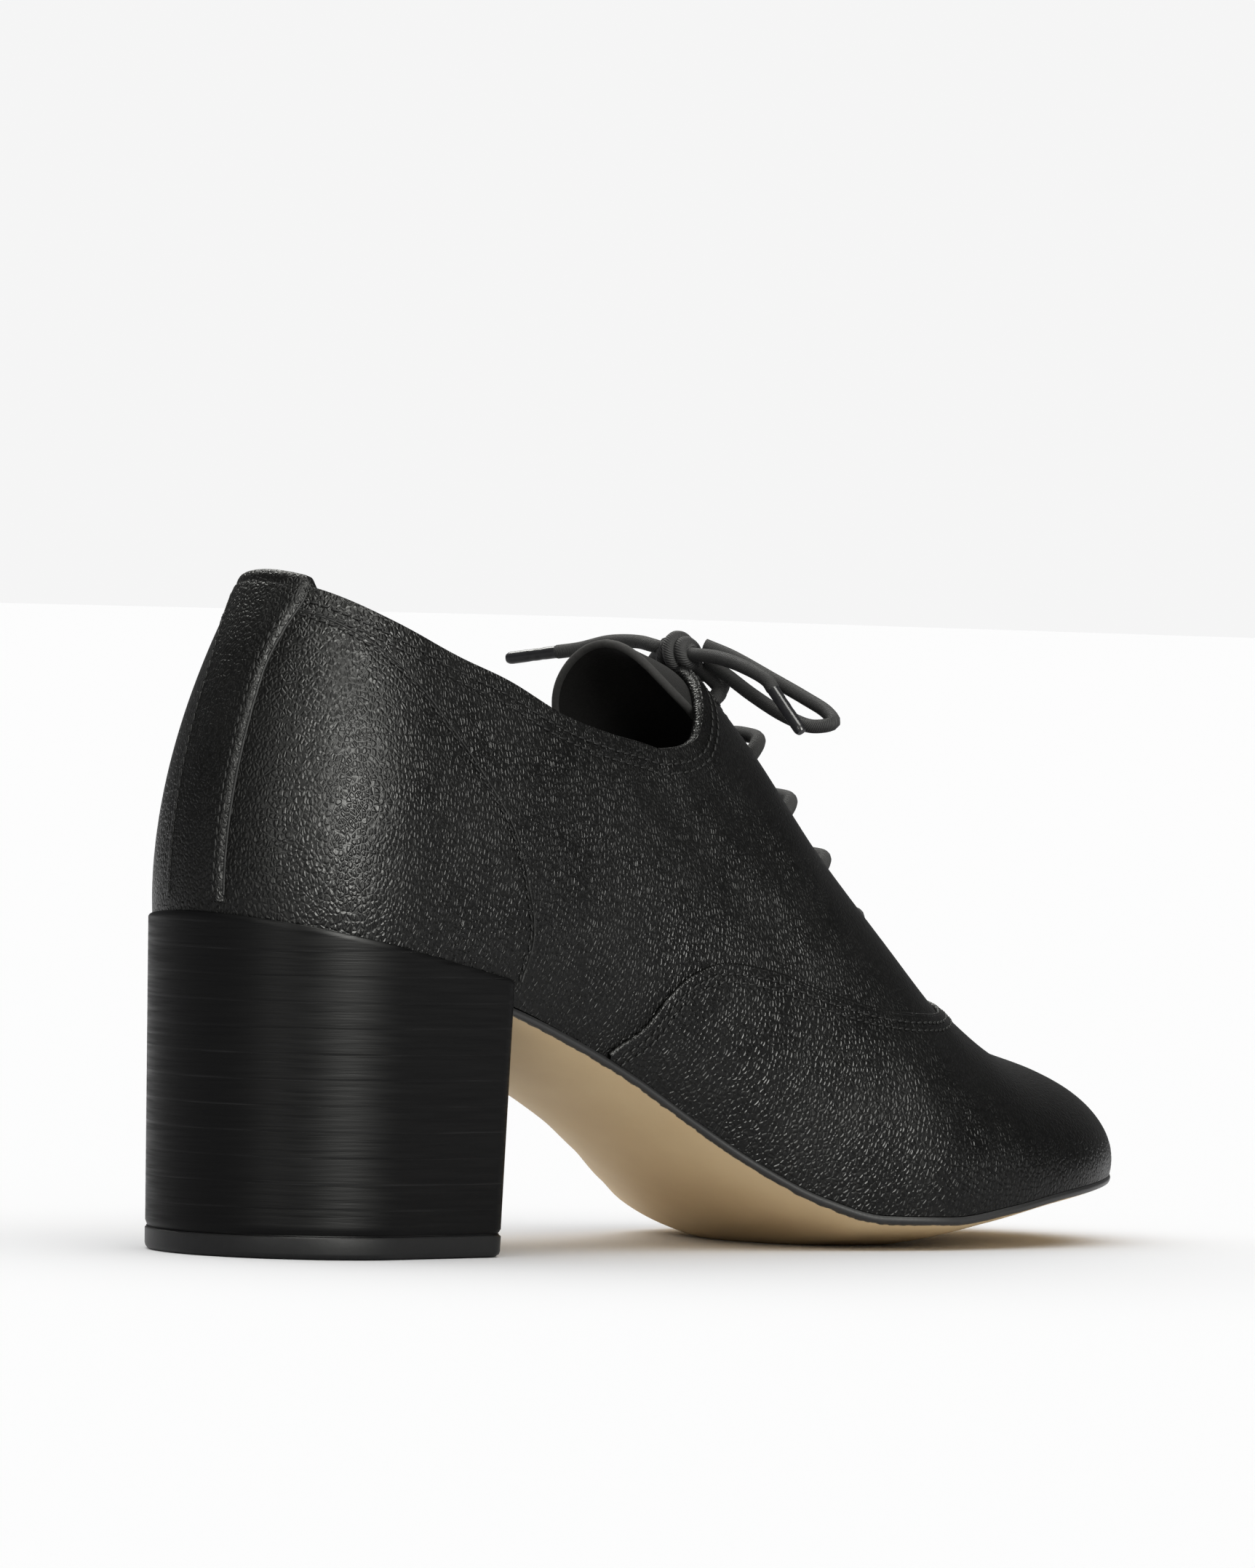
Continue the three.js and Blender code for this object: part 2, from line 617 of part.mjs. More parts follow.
function makeUpper() {
  const shell = leaf(-wall, 0);
  const lap = leaf(-wall / 2, overlay).intersect(vampPrism());
  let body = shell.add(lap).subtract(collarCutter()).subtract(throatCutter());
  for (const cutter of eyeletCutters()) body = body.subtract(cutter);
  return body;
}

// The strip up the middle of the heel, folded over the top line and a little way down inside.
function makeBackStrip() {
  const flareFrom = collarBack - 2 * tabRise;
  const wide = stripHalf + stripFlare;
  const half = [
    [stripHalf, 0],
    [stripHalf, flareFrom - 4 * tabRise],
    [wide, flareFrom],
    [wide, 2 * ridgeHeight],
  ];
  const mirrored = half.map(([y, z]) => [-y, z]).reverse();
  const shape = new THREE.Shape([...half, ...mirrored].map(([y, z]) => new THREE.Vector2(y, z)));
  const geometry = new THREE.ExtrudeGeometry(shape, { depth: 2 * heelBack, bevelEnabled: false });
  const band = solidOf(geometry.rotateX(Math.PI / 2).rotateZ(Math.PI / 2).translate(-2 * heelBack, 0, 0));
  const between = (low, high) => sidePrism([...low, ...high.slice().reverse()]);
  const seat = [-heelWidth, 2 * heelWidth].map((x) => [x, heelTopAt(x) + 2 * fit]);
  const inner = wall + fit + overlay;
  const outside = leaf(fit, fit + overlay).intersect(between(seat, topLine(tabRise)));
  const over = leaf(-inner, fit + overlay).intersect(between(topLine(fit), topLine(tabRise)));
  const inside = leaf(-inner, -wall - fit).intersect(between(topLine(-foldDepth), topLine(2 * fit)));
  return outside.add(over).add(inside).intersect(band);
}

// Heights under the foot. across: 0 in the middle, 1 at the edge.
function bedHeight(x, y) {
  const side = y > 0 ? 1 : -1;
  const half = Math.max(featherHalf(x, side), 0.01);
  const across = Math.min(1, Math.abs(y) / half);
  const centre = (featherHeight(x, -1) + featherHeight(x, 1)) / 2;
  const rim = centre + (featherHeight(x, side) - centre) * across;
  return rim - beddingSag * closing(x) * (1 - across ** 2);
}

const soleTable = [
  { at: 0.0, belly: 0.0, lip: 0 },
  { at: 0.24, belly: 0.2, lip: 0 },
  { at: 0.32, belly: 0.5, lip: 1 },
  { at: 0.5, belly: 0.8, lip: 1 },
  { at: 0.62, belly: 1.0, lip: 1 },
  { at: 0.72, belly: 1.0, lip: 1 },
  { at: 0.85, belly: 0.75, lip: 1 },
  { at: 1.0, belly: 0.4, lip: 1 },
];
const soleBelly = 4.4; // how much lower the sole is in the middle than at its edge, under the ball
const bellyShare = through(soleTable, "belly");
const lipShare = through(soleTable, "lip");

// A plate that follows the foot bed: from is its top and to its underside, each a function of x, y and across.
function bedPlate(grow, top, under) {
  const places = stations();
  const columns = 8;
  const rowsOf = (height) =>
    places.map((x) => {
      const at = shareAt(x);
      const stretch = grow(at);
      const moved = x + (x < 0 ? -stretch * (1 - closing(x) ** 2) ** 0.5 : 0);
      const pushed = x > toeStart ? moved + stretch * ((x - toeStart) / toeDepth) : moved;
      const row = [];
      for (let j = 0; j <= columns; j++) {
        const across = Math.sin(((j / columns) * 2 - 1) * Math.PI * 0.5);
        const side = across > 0 ? 1 : -1;
        const half = Math.max(0, featherHalf(x, side) + stretch * closing(x));
        row.push(new THREE.Vector3(pushed, across * half, height(x, across * featherHalf(x, side), Math.abs(across))));
      }
      return row;
    });
  return sheetSolid(rowsOf(top), rowsOf(under));
}

function makeOutsole() {
  return bedPlate(
    (at) => soleLip * lipShare(at),
    (x, y) => bedHeight(x, y) - fit,
    (x, y, across) => {
      const belly = soleBelly * bellyShare(shareAt(x)) * closing(x) * (1 - across ** 2) ** 0.8;
      return Math.max(0, bedHeight(x, y) - fit - soleEdge - belly);
    },
  );
}

function makeInsole() {
  return bedPlate(
    () => -(wall + fit),
    (x, y) => bedHeight(x, y) + insoleThickness,
    (x, y) => bedHeight(x, y),
  );
}

// The heel's outline at a given draw-in: a round back, straight sides and a flat breast with round corners.
function heelOutline(inset) {
  const half = heelWidth / 2 - inset;
  const front = heelFront - inset;
  const points = [];
  for (let i = 0; i <= 16; i++) {
    const angle = Math.PI / 2 + (i / 16) * Math.PI;
    points.push([half * Math.cos(angle), half * Math.sin(angle)]);
  }
  for (const side of [-1, 1]) {
    for (let i = 0; i <= 4; i++) {
      const angle = side < 0 ? -Math.PI / 2 + (i / 8) * Math.PI : (i / 8) * Math.PI;
      points.push([
        front - heelCorner + heelCorner * Math.cos(angle),
        side * (half - heelCorner) + heelCorner * Math.sin(angle),
      ]);
    }
  }
  return points;
}

// Levels of the heel from the floor up, each a height for a point of the outline and a draw-in.
function heelBlock(levels) {
  const rings = levels.map(({ height, inset }) =>
    heelOutline(inset).map(([x, y]) => new THREE.Vector3(x, y, height(x))),
  );
  const skin = new Skin();
  const count = rings[0].length;
  const middle = (ring) => ring.reduce((sum, p) => sum.add(p), new THREE.Vector3()).divideScalar(count);
  const [low, high] = [rings[0], rings[rings.length - 1]];
  const [lowMiddle, highMiddle] = [middle(low), middle(high)];
  for (let i = 0; i < count; i++) {
    const k = (i + 1) % count;
    for (let r = 0; r < rings.length - 1; r++) skin.quad(rings[r][i], rings[r][k], rings[r + 1][k], rings[r + 1][i]);
    skin.face(lowMiddle, low[k], low[i]);
    skin.face(highMiddle, high[i], high[k]);
  }
  return skin.solid();
}

const heelTopAt = (x) => heelTop - (x + heelWidth / 2) * Math.tan(THREE.MathUtils.degToRad(heelTopSlope));

function makeHeelStack() {
  const share = liftHeight / heelTop;
  const block = heelBlock([
    { height: () => liftHeight, inset: heelTaper * (1 - share) },
    { height: heelTopAt, inset: 0 },
  ]);
  const seat = bedPlate(
    () => -fit,
    (x) => featherHeight(x, 1) + 30,
    (x, y) => bedHeight(x, y) - 2 * fit - soleEdge - soleBelly * bellyShare(shareAt(x)) * closing(x),
  );
  return block.subtract(seat).subtract(lastSolid(fit, soleEdge + 3 * fit));
}

function makeTopLift() {
  const share = liftHeight / heelTop;
  return heelBlock([
    { height: () => 0, inset: heelTaper + heelRound },
    { height: () => 0.3 * heelRound, inset: heelTaper + 0.3 * heelRound },
    { height: () => heelRound, inset: heelTaper },
    { height: () => liftHeight, inset: heelTaper * (1 - share) },
  ]);
}

const part = new THREE.Group();

function addPiece(name, solid, look) {
  const mesh = solid.getMesh();
  const geometry = new THREE.BufferGeometry();
  geometry.setAttribute("position", new THREE.BufferAttribute(new Float32Array(mesh.vertProperties), 3));
  geometry.setIndex(new THREE.BufferAttribute(new Uint32Array(mesh.triVerts), 1));
  geometry.computeVertexNormals();
  const piece = new THREE.Mesh(geometry, new THREE.MeshStandardMaterial(look));
  piece.name = name;
  part.add(piece);
}

const blackLeather = { color: 0x1b1b19, roughness: 0.45, metalness: 0 };
const tanLeather = { color: 0xc4a17c, roughness: 0.6, metalness: 0 };
const stackedLeather = { color: 0x0e0f10, roughness: 0.4, metalness: 0 };
const suede = { color: 0x191817, roughness: 0.9, metalness: 0 };
const laceCotton = { color: 0x171617, roughness: 0.85, metalness: 0 };
const agletPlastic = { color: 0x202022, roughness: 0.35, metalness: 0 };
const liningLeather = { color: 0x2a2723, roughness: 0.7, metalness: 0 };

addPiece("upper", makeUpper(), blackLeather);
addPiece("outsole", makeOutsole(), tanLeather);
addPiece("insole", makeInsole(), liningLeather);
addPiece("tongue", makeTongue(), suede);
addPiece("back_strip", makeBackStrip(), blackLeather);
addPiece("lace_bars", makeLaceBars(), laceCotton);
addPiece("lace_knot", makeKnot(), laceCotton);
const [lateralLoop, medialLoop] = [bowPath(lateralLoopRows, lateral), bowPath(lateralLoopRows, medial)];
const [lateralEnd, medialEnd] = [bowPath(lateralEndRows, lateral), bowPath(medialEndRows, medialBack)];
addPiece("lace_loop_lateral", lace(lateralLoop), laceCotton);
addPiece("lace_loop_medial", lace(medialLoop), laceCotton);
addPiece("lace_end_lateral", lace(lateralEnd), laceCotton);
addPiece("lace_end_medial", lace(medialEnd), laceCotton);
addPiece("aglet_lateral", makeAglet(lateralEnd), agletPlastic);
addPiece("aglet_medial", makeAglet(medialEnd), agletPlastic);
addPiece("heel_stack", makeHeelStack(), stackedLeather);
addPiece("heel_lift", makeTopLift(), stackedLeather);

export default part;
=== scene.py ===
import math
import bpy
import numpy as np
from mathutils import Matrix, Vector
from mathutils.bvhtree import BVHTree


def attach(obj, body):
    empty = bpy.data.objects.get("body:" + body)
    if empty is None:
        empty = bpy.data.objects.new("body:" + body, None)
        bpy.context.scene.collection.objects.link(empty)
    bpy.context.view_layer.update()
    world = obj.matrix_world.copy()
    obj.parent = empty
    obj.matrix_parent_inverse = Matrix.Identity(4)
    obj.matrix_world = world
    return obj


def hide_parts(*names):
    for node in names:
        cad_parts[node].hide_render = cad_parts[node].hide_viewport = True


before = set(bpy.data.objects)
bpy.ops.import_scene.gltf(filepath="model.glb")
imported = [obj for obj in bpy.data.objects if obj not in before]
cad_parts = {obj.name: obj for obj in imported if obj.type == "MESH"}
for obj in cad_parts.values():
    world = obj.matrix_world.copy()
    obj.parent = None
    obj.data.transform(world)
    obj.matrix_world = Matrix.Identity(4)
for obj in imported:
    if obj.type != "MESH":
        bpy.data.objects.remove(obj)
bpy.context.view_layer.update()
bpy.ops.object.select_all(action="DESELECT")
mm = 0.001

# The photograph's view: where the lens looks, its bearing, height angle and roll
shot = {"target": (74.649, -12.616, 91.311), "distance": 2500.0, "bearing": -45.0, "rise": 1.0, "roll": 1.6, "lens": 292.2}


def addCamera():
    bearing, rise, roll = (math.radians(shot[key]) for key in ("bearing", "rise", "roll"))
    forward = Vector((-math.sin(bearing) * math.cos(rise), math.cos(bearing) * math.cos(rise), -math.sin(rise)))
    right = Vector((math.cos(bearing), math.sin(bearing), 0))
    up = right.cross(forward)
    turnedRight = right * math.cos(roll) + up * math.sin(roll)
    turnedUp = up * math.cos(roll) - right * math.sin(roll)
    place = (Vector(shot["target"]) - forward * shot["distance"]) * mm
    bpy.ops.object.camera_add(location=place)
    camera = bpy.context.object
    camera.matrix_world = Matrix((turnedRight, turnedUp, -forward)).transposed().to_4x4()
    camera.location = place
    camera.data.lens = shot["lens"]
    camera.data.sensor_fit = "VERTICAL"
    camera.data.sensor_height = 36
    camera.data.clip_end = 50
    bpy.context.scene.camera = camera


addCamera()

# The last, in millimetres. Shares are of its length, ball width, heel pitch and ridge height, row by row.
last = {"length": 239.0, "back": 29.0, "ball": 82.0, "pitch": 61.0, "ridge": 165.0, "toe": 42.0, "square": 2.15}
wall = 2.0
lap = 0.9
sectionTable = [
    {"at": 0.0, "lateral": 0.35, "medial": 0.35, "feather": 1.0, "arch": 0.0, "outBulge": 0.026, "inBulge": 0.026},
    {"at": 0.123, "lateral": 0.348, "medial": 0.342, "feather": 0.908, "arch": 0.0, "outBulge": 0.03, "inBulge": 0.03},
    {"at": 0.243, "lateral": 0.335, "medial": 0.325, "feather": 0.8, "arch": 0.0, "outBulge": 0.045, "inBulge": 0.055},
    {"at": 0.315, "lateral": 0.327, "medial": 0.284, "feather": 0.7, "arch": 0.01, "outBulge": 0.05, "inBulge": 0.075},
    {"at": 0.387, "lateral": 0.333, "medial": 0.238, "feather": 0.575, "arch": 0.03, "outBulge": 0.05, "inBulge": 0.09},
    {"at": 0.453, "lateral": 0.352, "medial": 0.225, "feather": 0.43, "arch": 0.05, "outBulge": 0.045, "inBulge": 0.09},
    {"at": 0.517, "lateral": 0.389, "medial": 0.26, "feather": 0.289, "arch": 0.055, "outBulge": 0.035, "inBulge": 0.07},
    {"at": 0.58, "lateral": 0.432, "medial": 0.33, "feather": 0.178, "arch": 0.04, "outBulge": 0.025, "inBulge": 0.045},
    {"at": 0.639, "lateral": 0.475, "medial": 0.402, "feather": 0.12, "arch": 0.01, "outBulge": 0.02, "inBulge": 0.03},
    {"at": 0.707, "lateral": 0.512, "medial": 0.45, "feather": 0.115, "arch": 0.0, "outBulge": 0.018, "inBulge": 0.022},
    {"at": 0.774, "lateral": 0.52, "medial": 0.46, "feather": 0.148, "arch": 0.0, "outBulge": 0.015, "inBulge": 0.02},
    {"at": 0.85, "lateral": 0.505, "medial": 0.435, "feather": 0.195, "arch": 0.0, "outBulge": 0.012, "inBulge": 0.015},
    {"at": 1.0, "lateral": 0.47, "medial": 0.4, "feather": 0.25, "arch": 0.0, "outBulge": 0.01, "inBulge": 0.01},
]
ridgeTable = [
    {"at": 0.0, "ridgeAt": 0.231, "height": 1.0, "shift": 0.0, "boxy": 1.75},
    {"at": 0.123, "ridgeAt": 0.277, "height": 1.0, "shift": 0.0, "boxy": 1.6},
    {"at": 0.243, "ridgeAt": 0.333, "height": 0.98, "shift": 0.0, "boxy": 1.68},
    {"at": 0.315, "ridgeAt": 0.379, "height": 0.94, "shift": 0.0, "boxy": 1.8},
    {"at": 0.387, "ridgeAt": 0.426, "height": 0.875, "shift": 0.0, "boxy": 1.88},
    {"at": 0.453, "ridgeAt": 0.472, "height": 0.8, "shift": 0.0, "boxy": 1.94},
    {"at": 0.517, "ridgeAt": 0.523, "height": 0.715, "shift": 0.0, "boxy": 1.98},
    {"at": 0.58, "ridgeAt": 0.576, "height": 0.633, "shift": 0.0, "boxy": 2.0},
    {"at": 0.639, "ridgeAt": 0.631, "height": 0.53, "shift": 0.0, "boxy": 2.0},
    {"at": 0.707, "ridgeAt": 0.695, "height": 0.421, "shift": -0.005, "boxy": 2.0},
    {"at": 0.774, "ridgeAt": 0.757, "height": 0.318, "shift": -0.01, "boxy": 2.0},
    {"at": 0.85, "ridgeAt": 0.836, "height": 0.242, "shift": -0.02, "boxy": 2.05},
    {"at": 0.92, "ridgeAt": 0.891, "height": 0.218, "shift": -0.025, "boxy": 2.1},
    {"at": 1.0, "ridgeAt": 0.925, "height": 0.198, "shift": -0.03, "boxy": 2.1},
]


# A smooth curve through a table's column that never overshoots its rows
def through(rows, key, source="at"):
    x = np.array([row[source] for row in rows], float)
    y = np.array([row[key] for row in rows], float)
    slopes = np.diff(y) / np.diff(x)
    tangents = np.empty_like(x)
    tangents[0], tangents[-1] = slopes[0], slopes[-1]
    for i in range(1, len(x) - 1):
        before, after = slopes[i - 1], slopes[i]
        tangents[i] = 0 if before * after <= 0 else 2 * before * after / (before + after)

    def curve(at):
        clamped = np.clip(at, x[0], x[-1])
        i = np.clip(np.searchsorted(x, clamped, side="left") - 1, 0, len(x) - 2)
        span = x[i + 1] - x[i]
        t = (clamped - x[i]) / span
        rise = y[i + 1] - y[i]
        a = tangents[i] * span - rise
        b = rise - tangents[i + 1] * span
        return y[i] + t * rise + t * (1 - t) * (a * (1 - t) + b * t)

    return curve


section = {key: through(sectionTable, key) for key in sectionTable[0]}
ridge = {key: through(ridgeTable, key) for key in ridgeTable[0]}
toeStart = last["length"] - last["back"] - last["toe"]


def shareAt(x):
    return (x + last["back"]) / last["length"]


def xAt(share):
    return share * last["length"] - last["back"]


def closing(x):
    x = np.asarray(x, float)
    heel = np.sqrt(np.clip(1 - (x / last["back"]) ** 2, 0, 1))
    along = np.clip((x - toeStart) / last["toe"], 0, 1)
    toe = np.clip(1 - along ** last["square"], 0, 1) ** (1 / last["square"])
    return np.where(x < 0, heel, np.where(x <= toeStart, 1.0, toe))


# Places along the shoe: 0 to 1 round the heel, 1 to 2 the body, 2 to 3 round the toe
def xOf(place):
    place = np.asarray(place, float)
    heel = -last["back"] * np.cos(np.clip(place, 0, 1) * math.pi / 2)
    body = np.clip(place - 1, 0, 1) * toeStart
    toe = last["toe"] * np.sin(np.clip(place - 2, 0, 1) * math.pi / 2)
    return np.where(place < 1, heel, body + toe)


def featherHeight(x, side):
    at = shareAt(x)
    lift = section["arch"](at) * closing(x) if side > 0 else 0
    return last["pitch"] * (section["feather"](at) + lift)


def featherHalf(x, side):
    return last["ball"] * closing(x) * section["medial" if side > 0 else "lateral"](shareAt(x))


# The last's surface. side: -1 lateral, 1 medial. turn: 0 at the feather line, 1 on the ridge
def surface(place, side, turn):
    place, turn = np.broadcast_arrays(np.asarray(place, float), np.asarray(turn, float))
    x = xOf(place)
    at = shareAt(x)
    close = closing(x)
    footY, footZ = side * featherHalf(x, side), featherHeight(x, side)
    topX, topY, topZ = xAt(ridge["ridgeAt"](at)), last["ball"] * ridge["shift"](at), last["ridge"] * ridge["height"](at)
    power = 2 / ridge["boxy"](at)
    inward = 1 - np.clip(np.cos(turn * math.pi / 2), 0, 1) ** power
    upward = np.sin(turn * math.pi / 2) ** power
    bulge = 6.75 * upward * (1 - upward) ** 2 * last["ball"] * section["inBulge" if side > 0 else "outBulge"](at)
    outX, outY = x - topX, footY - topY
    size = np.maximum(np.hypot(outX, outY), 1e-9)
    mix = np.where(close < 1, close ** 2, 1)
    headX, headY = outX / size * (1 - mix), outY / size * (1 - mix) + side * mix
    size = np.maximum(np.hypot(headX, headY), 1e-9)
    return np.stack([
        x + (topX - x) * inward + headX / size * bulge,
        footY + (topY - footY) * inward + headY / size * bulge,
        footZ + (topZ - footZ) * upward,
    ], -1)


# Soft hollows worn into the leather, as lines of the side view with the depth and half width of each
creases = [
    {"side": -1, "start": (68, 93), "end": (99, 63), "depth": 0.5, "width": 5.0},
    {"side": -1, "start": (86, 92), "end": (113, 66), "depth": 0.4, "width": 4.0},
    {"side": -1, "start": (44, 84), "end": (66, 62), "depth": 0.35, "width": 7.0},
    {"side": -1, "start": (-4, 78), "end": (22, 70), "depth": 0.3, "width": 6.0},
    {"side": -1, "start": (131, 45), "end": (143, 24), "depth": 0.3, "width": 3.6},
    {"side": -1, "start": (142, 42), "end": (152, 25), "depth": 0.25, "width": 3.2},
    {"side": 1, "start": (62, 92), "end": (94, 60), "depth": 0.5, "width": 5.5},
    {"side": 1, "start": (90, 88), "end": (112, 62), "depth": 0.35, "width": 4.0},
    {"side": 1, "start": (30, 82), "end": (58, 66), "depth": 0.35, "width": 7.0},
    {"side": 1, "start": (129, 44), "end": (141, 25), "depth": 0.35, "width": 3.8},
    {"side": 1, "start": (141, 41), "end": (150, 25), "depth": 0.25, "width": 3.2},
]


def hollow(points, side):
    deep = np.zeros(points.shape[:-1])
    flat = points[..., [0, 2]]
    for crease in creases:
        if crease["side"] == side:
            start, along = np.array(crease["start"], float), np.subtract(crease["end"], crease["start"]).astype(float)
            share = np.clip(((flat - start) @ along) / (along @ along), 0, 1)
            away = np.linalg.norm(flat - start - share[..., None] * along, axis=-1)
            deep += crease["depth"] * np.exp(-(away / crease["width"]) ** 2)
    return deep


def lifted(place, side, turn, lift):
    place, turn = np.broadcast_arrays(np.asarray(place, float), np.asarray(turn, float))
    step = 2e-3
    low, high = np.clip(place - step, 0.004, 2.996), np.clip(place + step, 0.004, 2.996)
    high = np.where(high - low < 1e-9, low + 1e-3, high)
    safe = np.clip(turn, 0.012, 0.985)
    along = surface(high, side, safe) - surface(low, side, safe)
    upward = surface(np.clip(place, 0.004, 2.996), side, safe + 4e-3) - surface(np.clip(place, 0.004, 2.996), side, safe - 4e-3)
    normal = np.cross(upward, along) * side
    normal /= np.maximum(np.linalg.norm(normal, axis=-1, keepdims=True), 1e-9)
    spots = surface(place, side, turn)
    return spots + normal * (np.asarray(lift) - hollow(spots, side))[..., None]


# Mesh helpers. Points are rows of places in millimetres.
def finishPiece(piece, smooth=True, angle=None):
    bpy.context.view_layer.objects.active = piece
    piece.select_set(True)
    if angle is not None:
        bpy.ops.object.shade_smooth_by_angle(angle=math.radians(angle))
    elif smooth:
        bpy.ops.object.shade_smooth()
    piece.select_set(False)


def gridPiece(name, points, flip=False, weld=True, uv=(1.0, 1.0)):
    points = np.asarray(points, float)
    if flip:
        points = points[:, ::-1]
    rows, columns = points.shape[:2]
    bpy.ops.object.select_all(action="DESELECT")
    bpy.ops.mesh.primitive_grid_add(x_subdivisions=columns - 1, y_subdivisions=rows - 1, size=1)
    piece = bpy.context.object
    piece.name = name
    mesh = piece.data
    mesh.name = name
    mesh.vertices.foreach_set("co", (points.reshape(-1, 3) * mm).ravel())
    corner = np.empty(len(mesh.loops), int)
    mesh.loops.foreach_get("vertex_index", corner)
    layer = mesh.uv_layers[0]
    layer.data.foreach_set("uv", np.stack([corner % columns * uv[0], corner // columns * uv[1]], -1).ravel().astype(float))
    mesh.update()
    if weld:
        bpy.ops.object.mode_set(mode="EDIT")
        bpy.ops.mesh.select_all(action="SELECT")
        bpy.ops.mesh.remove_doubles(threshold=1e-5)
        bpy.ops.mesh.dissolve_degenerate(threshold=1e-6)
        bpy.ops.object.mode_set(mode="OBJECT")
    finishPiece(piece)
    return piece


def outwards(piece):
    bpy.context.view_layer.objects.active = piece
    piece.select_set(True)
    bpy.ops.object.mode_set(mode="EDIT")
    bpy.ops.mesh.select_all(action="SELECT")
    bpy.ops.mesh.normals_make_consistent(inside=False)
    bpy.ops.object.mode_set(mode="OBJECT")
    piece.select_set(False)


def joined(name, pieces, weld=None):
    bpy.ops.object.select_all(action="DESELECT")
    for piece in pieces:
        piece.select_set(True)
    bpy.context.view_layer.objects.active = pieces[0]
    if len(pieces) > 1:
        bpy.ops.object.join()
    whole = bpy.context.object
    whole.name = name
    whole.data.name = name
    if weld:
        bpy.ops.object.mode_set(mode="EDIT")
        bpy.ops.mesh.select_all(action="SELECT")
        bpy.ops.mesh.remove_doubles(threshold=weld)
        bpy.ops.object.mode_set(mode="OBJECT")
    whole.select_set(False)
    return whole


def resample(points, step, closed=False):
    points = np.asarray(points, float)
    if closed:
        points = np.vstack([points, points[:1]])
    gaps = np.linalg.norm(np.diff(points, axis=0), axis=1)
    keep = np.concatenate([[True], gaps > 1e-6])
    points = points[keep]
    run = np.concatenate([[0], np.cumsum(np.linalg.norm(np.diff(points, axis=0), axis=1))])
    count = max(2, int(round(run[-1] / step)) + 1)
    at = np.linspace(0, run[-1], count)
    even = np.stack([np.interp(at, run, points[:, k]) for k in range(3)], -1)
    return even[:-1] if closed else even


# A smooth line through a few points
def smoothLine(points, step=0.8):
    points = [Vector(p) for p in points]
    ends = [points[0] * 2 - points[1]] + points + [points[-1] * 2 - points[-2]]
    line = []
    for a, b, c, d in zip(ends, ends[1:], ends[2:], ends[3:]):
        knots = [0.0]
        for p, q in ((a, b), (b, c), (c, d)):
            knots.append(knots[-1] + max((q - p).length, 1e-6) ** 0.5)
        for i in range(24):
            t = knots[1] + (knots[2] - knots[1]) * i / 24
            ab = a.lerp(b, (t - knots[0]) / (knots[1] - knots[0]))
            bc = b.lerp(c, (t - knots[1]) / (knots[2] - knots[1]))
            cd = c.lerp(d, (t - knots[2]) / (knots[3] - knots[2]))
            abc = ab.lerp(bc, (t - knots[0]) / (knots[2] - knots[0]))
            bcd = bc.lerp(cd, (t - knots[1]) / (knots[3] - knots[1]))
            line.append(abc.lerp(bcd, (t - knots[1]) / (knots[2] - knots[1])))
    line.append(points[-1])
    return resample([tuple(p) for p in line], step)


def tubePoints(path, radius, sides=12, closed=False, ends=True):
    path = np.asarray(path, float)
    count = len(path)
    radius = np.broadcast_to(np.asarray(radius, float), (count,)).copy()
    after = np.roll(path, -1, 0) if closed else np.vstack([path[1:], 2 * path[-1:] - path[-2:-1]])
    before = np.roll(path, 1, 0) if closed else np.vstack([2 * path[:1] - path[1:2], path[:-1]])
    tangent = after - before
    tangent /= np.maximum(np.linalg.norm(tangent, axis=1, keepdims=True), 1e-9)
    normal = np.cross(tangent[0], (0, 0, 1) if abs(tangent[0][2]) < 0.8 else (1, 0, 0))
    rings = []
    frames = []
    for i in range(count):
        normal = normal - tangent[i] * np.dot(normal, tangent[i])
        normal /= np.linalg.norm(normal)
        frames.append((normal.copy(), np.cross(tangent[i], normal)))
    turn = np.linspace(0, 2 * math.pi, sides + 1)
    for i in range(count):
        a, b = frames[i]
        rings.append(path[i] + radius[i] * (np.cos(turn)[:, None] * a + np.sin(turn)[:, None] * b))
    if closed:
        rings.append(rings[0].copy())
    elif ends:
        rings = [np.repeat(path[:1], sides + 1, 0)] + rings + [np.repeat(path[-1:], sides + 1, 0)]
    return np.array(rings)


def tubePiece(name, path, radius, sides=12, closed=False):
    path = np.asarray(path, float)
    length = np.linalg.norm(np.diff(path, axis=0), axis=1).sum()
    piece = gridPiece(name, tubePoints(path, radius, sides, closed), uv=(1 / sides, length / max(len(path) - 1, 1)))
    outwards(piece)
    finishPiece(piece, angle=60)
    return piece


print("last ready")

# The whole last as a tree, to set lines and stitches on
fineRows = np.concatenate([np.linspace(0, 1, 30, endpoint=False), np.linspace(1, 2, 150, endpoint=False), np.linspace(2, 3, 40)])


def lastTree(lift):
    turns = np.linspace(0, 1, 61)
    halves = [lifted(fineRows[:, None], side, turns[None, :], lift) for side in (-1, 1)]
    whole = np.concatenate([halves[0], halves[1][:, -2::-1]], 1)
    rows, columns = whole.shape[:2]
    faces = []
    for i in range(rows - 1):
        for j in range(columns - 1):
            a = i * columns + j
            faces.append((a, a + columns, a + columns + 1, a + 1))
    return BVHTree.FromPolygons([tuple(p) for p in whole.reshape(-1, 3)], faces)


treeAtZero = lastTree(0.0)


def snapped(points, lift=0.0):
    out, normals = [], []
    for p in points:
        spot, normal, _, _ = treeAtZero.find_nearest(Vector(p))
        out.append(tuple(spot + normal * lift))
        normals.append(tuple(normal))
    return np.array(out), np.array(normals)


def onSide(line, side):
    spots = []
    for x, z in line:
        hit = treeAtZero.ray_cast(Vector((x, side * 200, z)), Vector((0, -side, 0)))[0]
        if hit is not None:
            spots.append(tuple(hit))
    return np.array(spots)


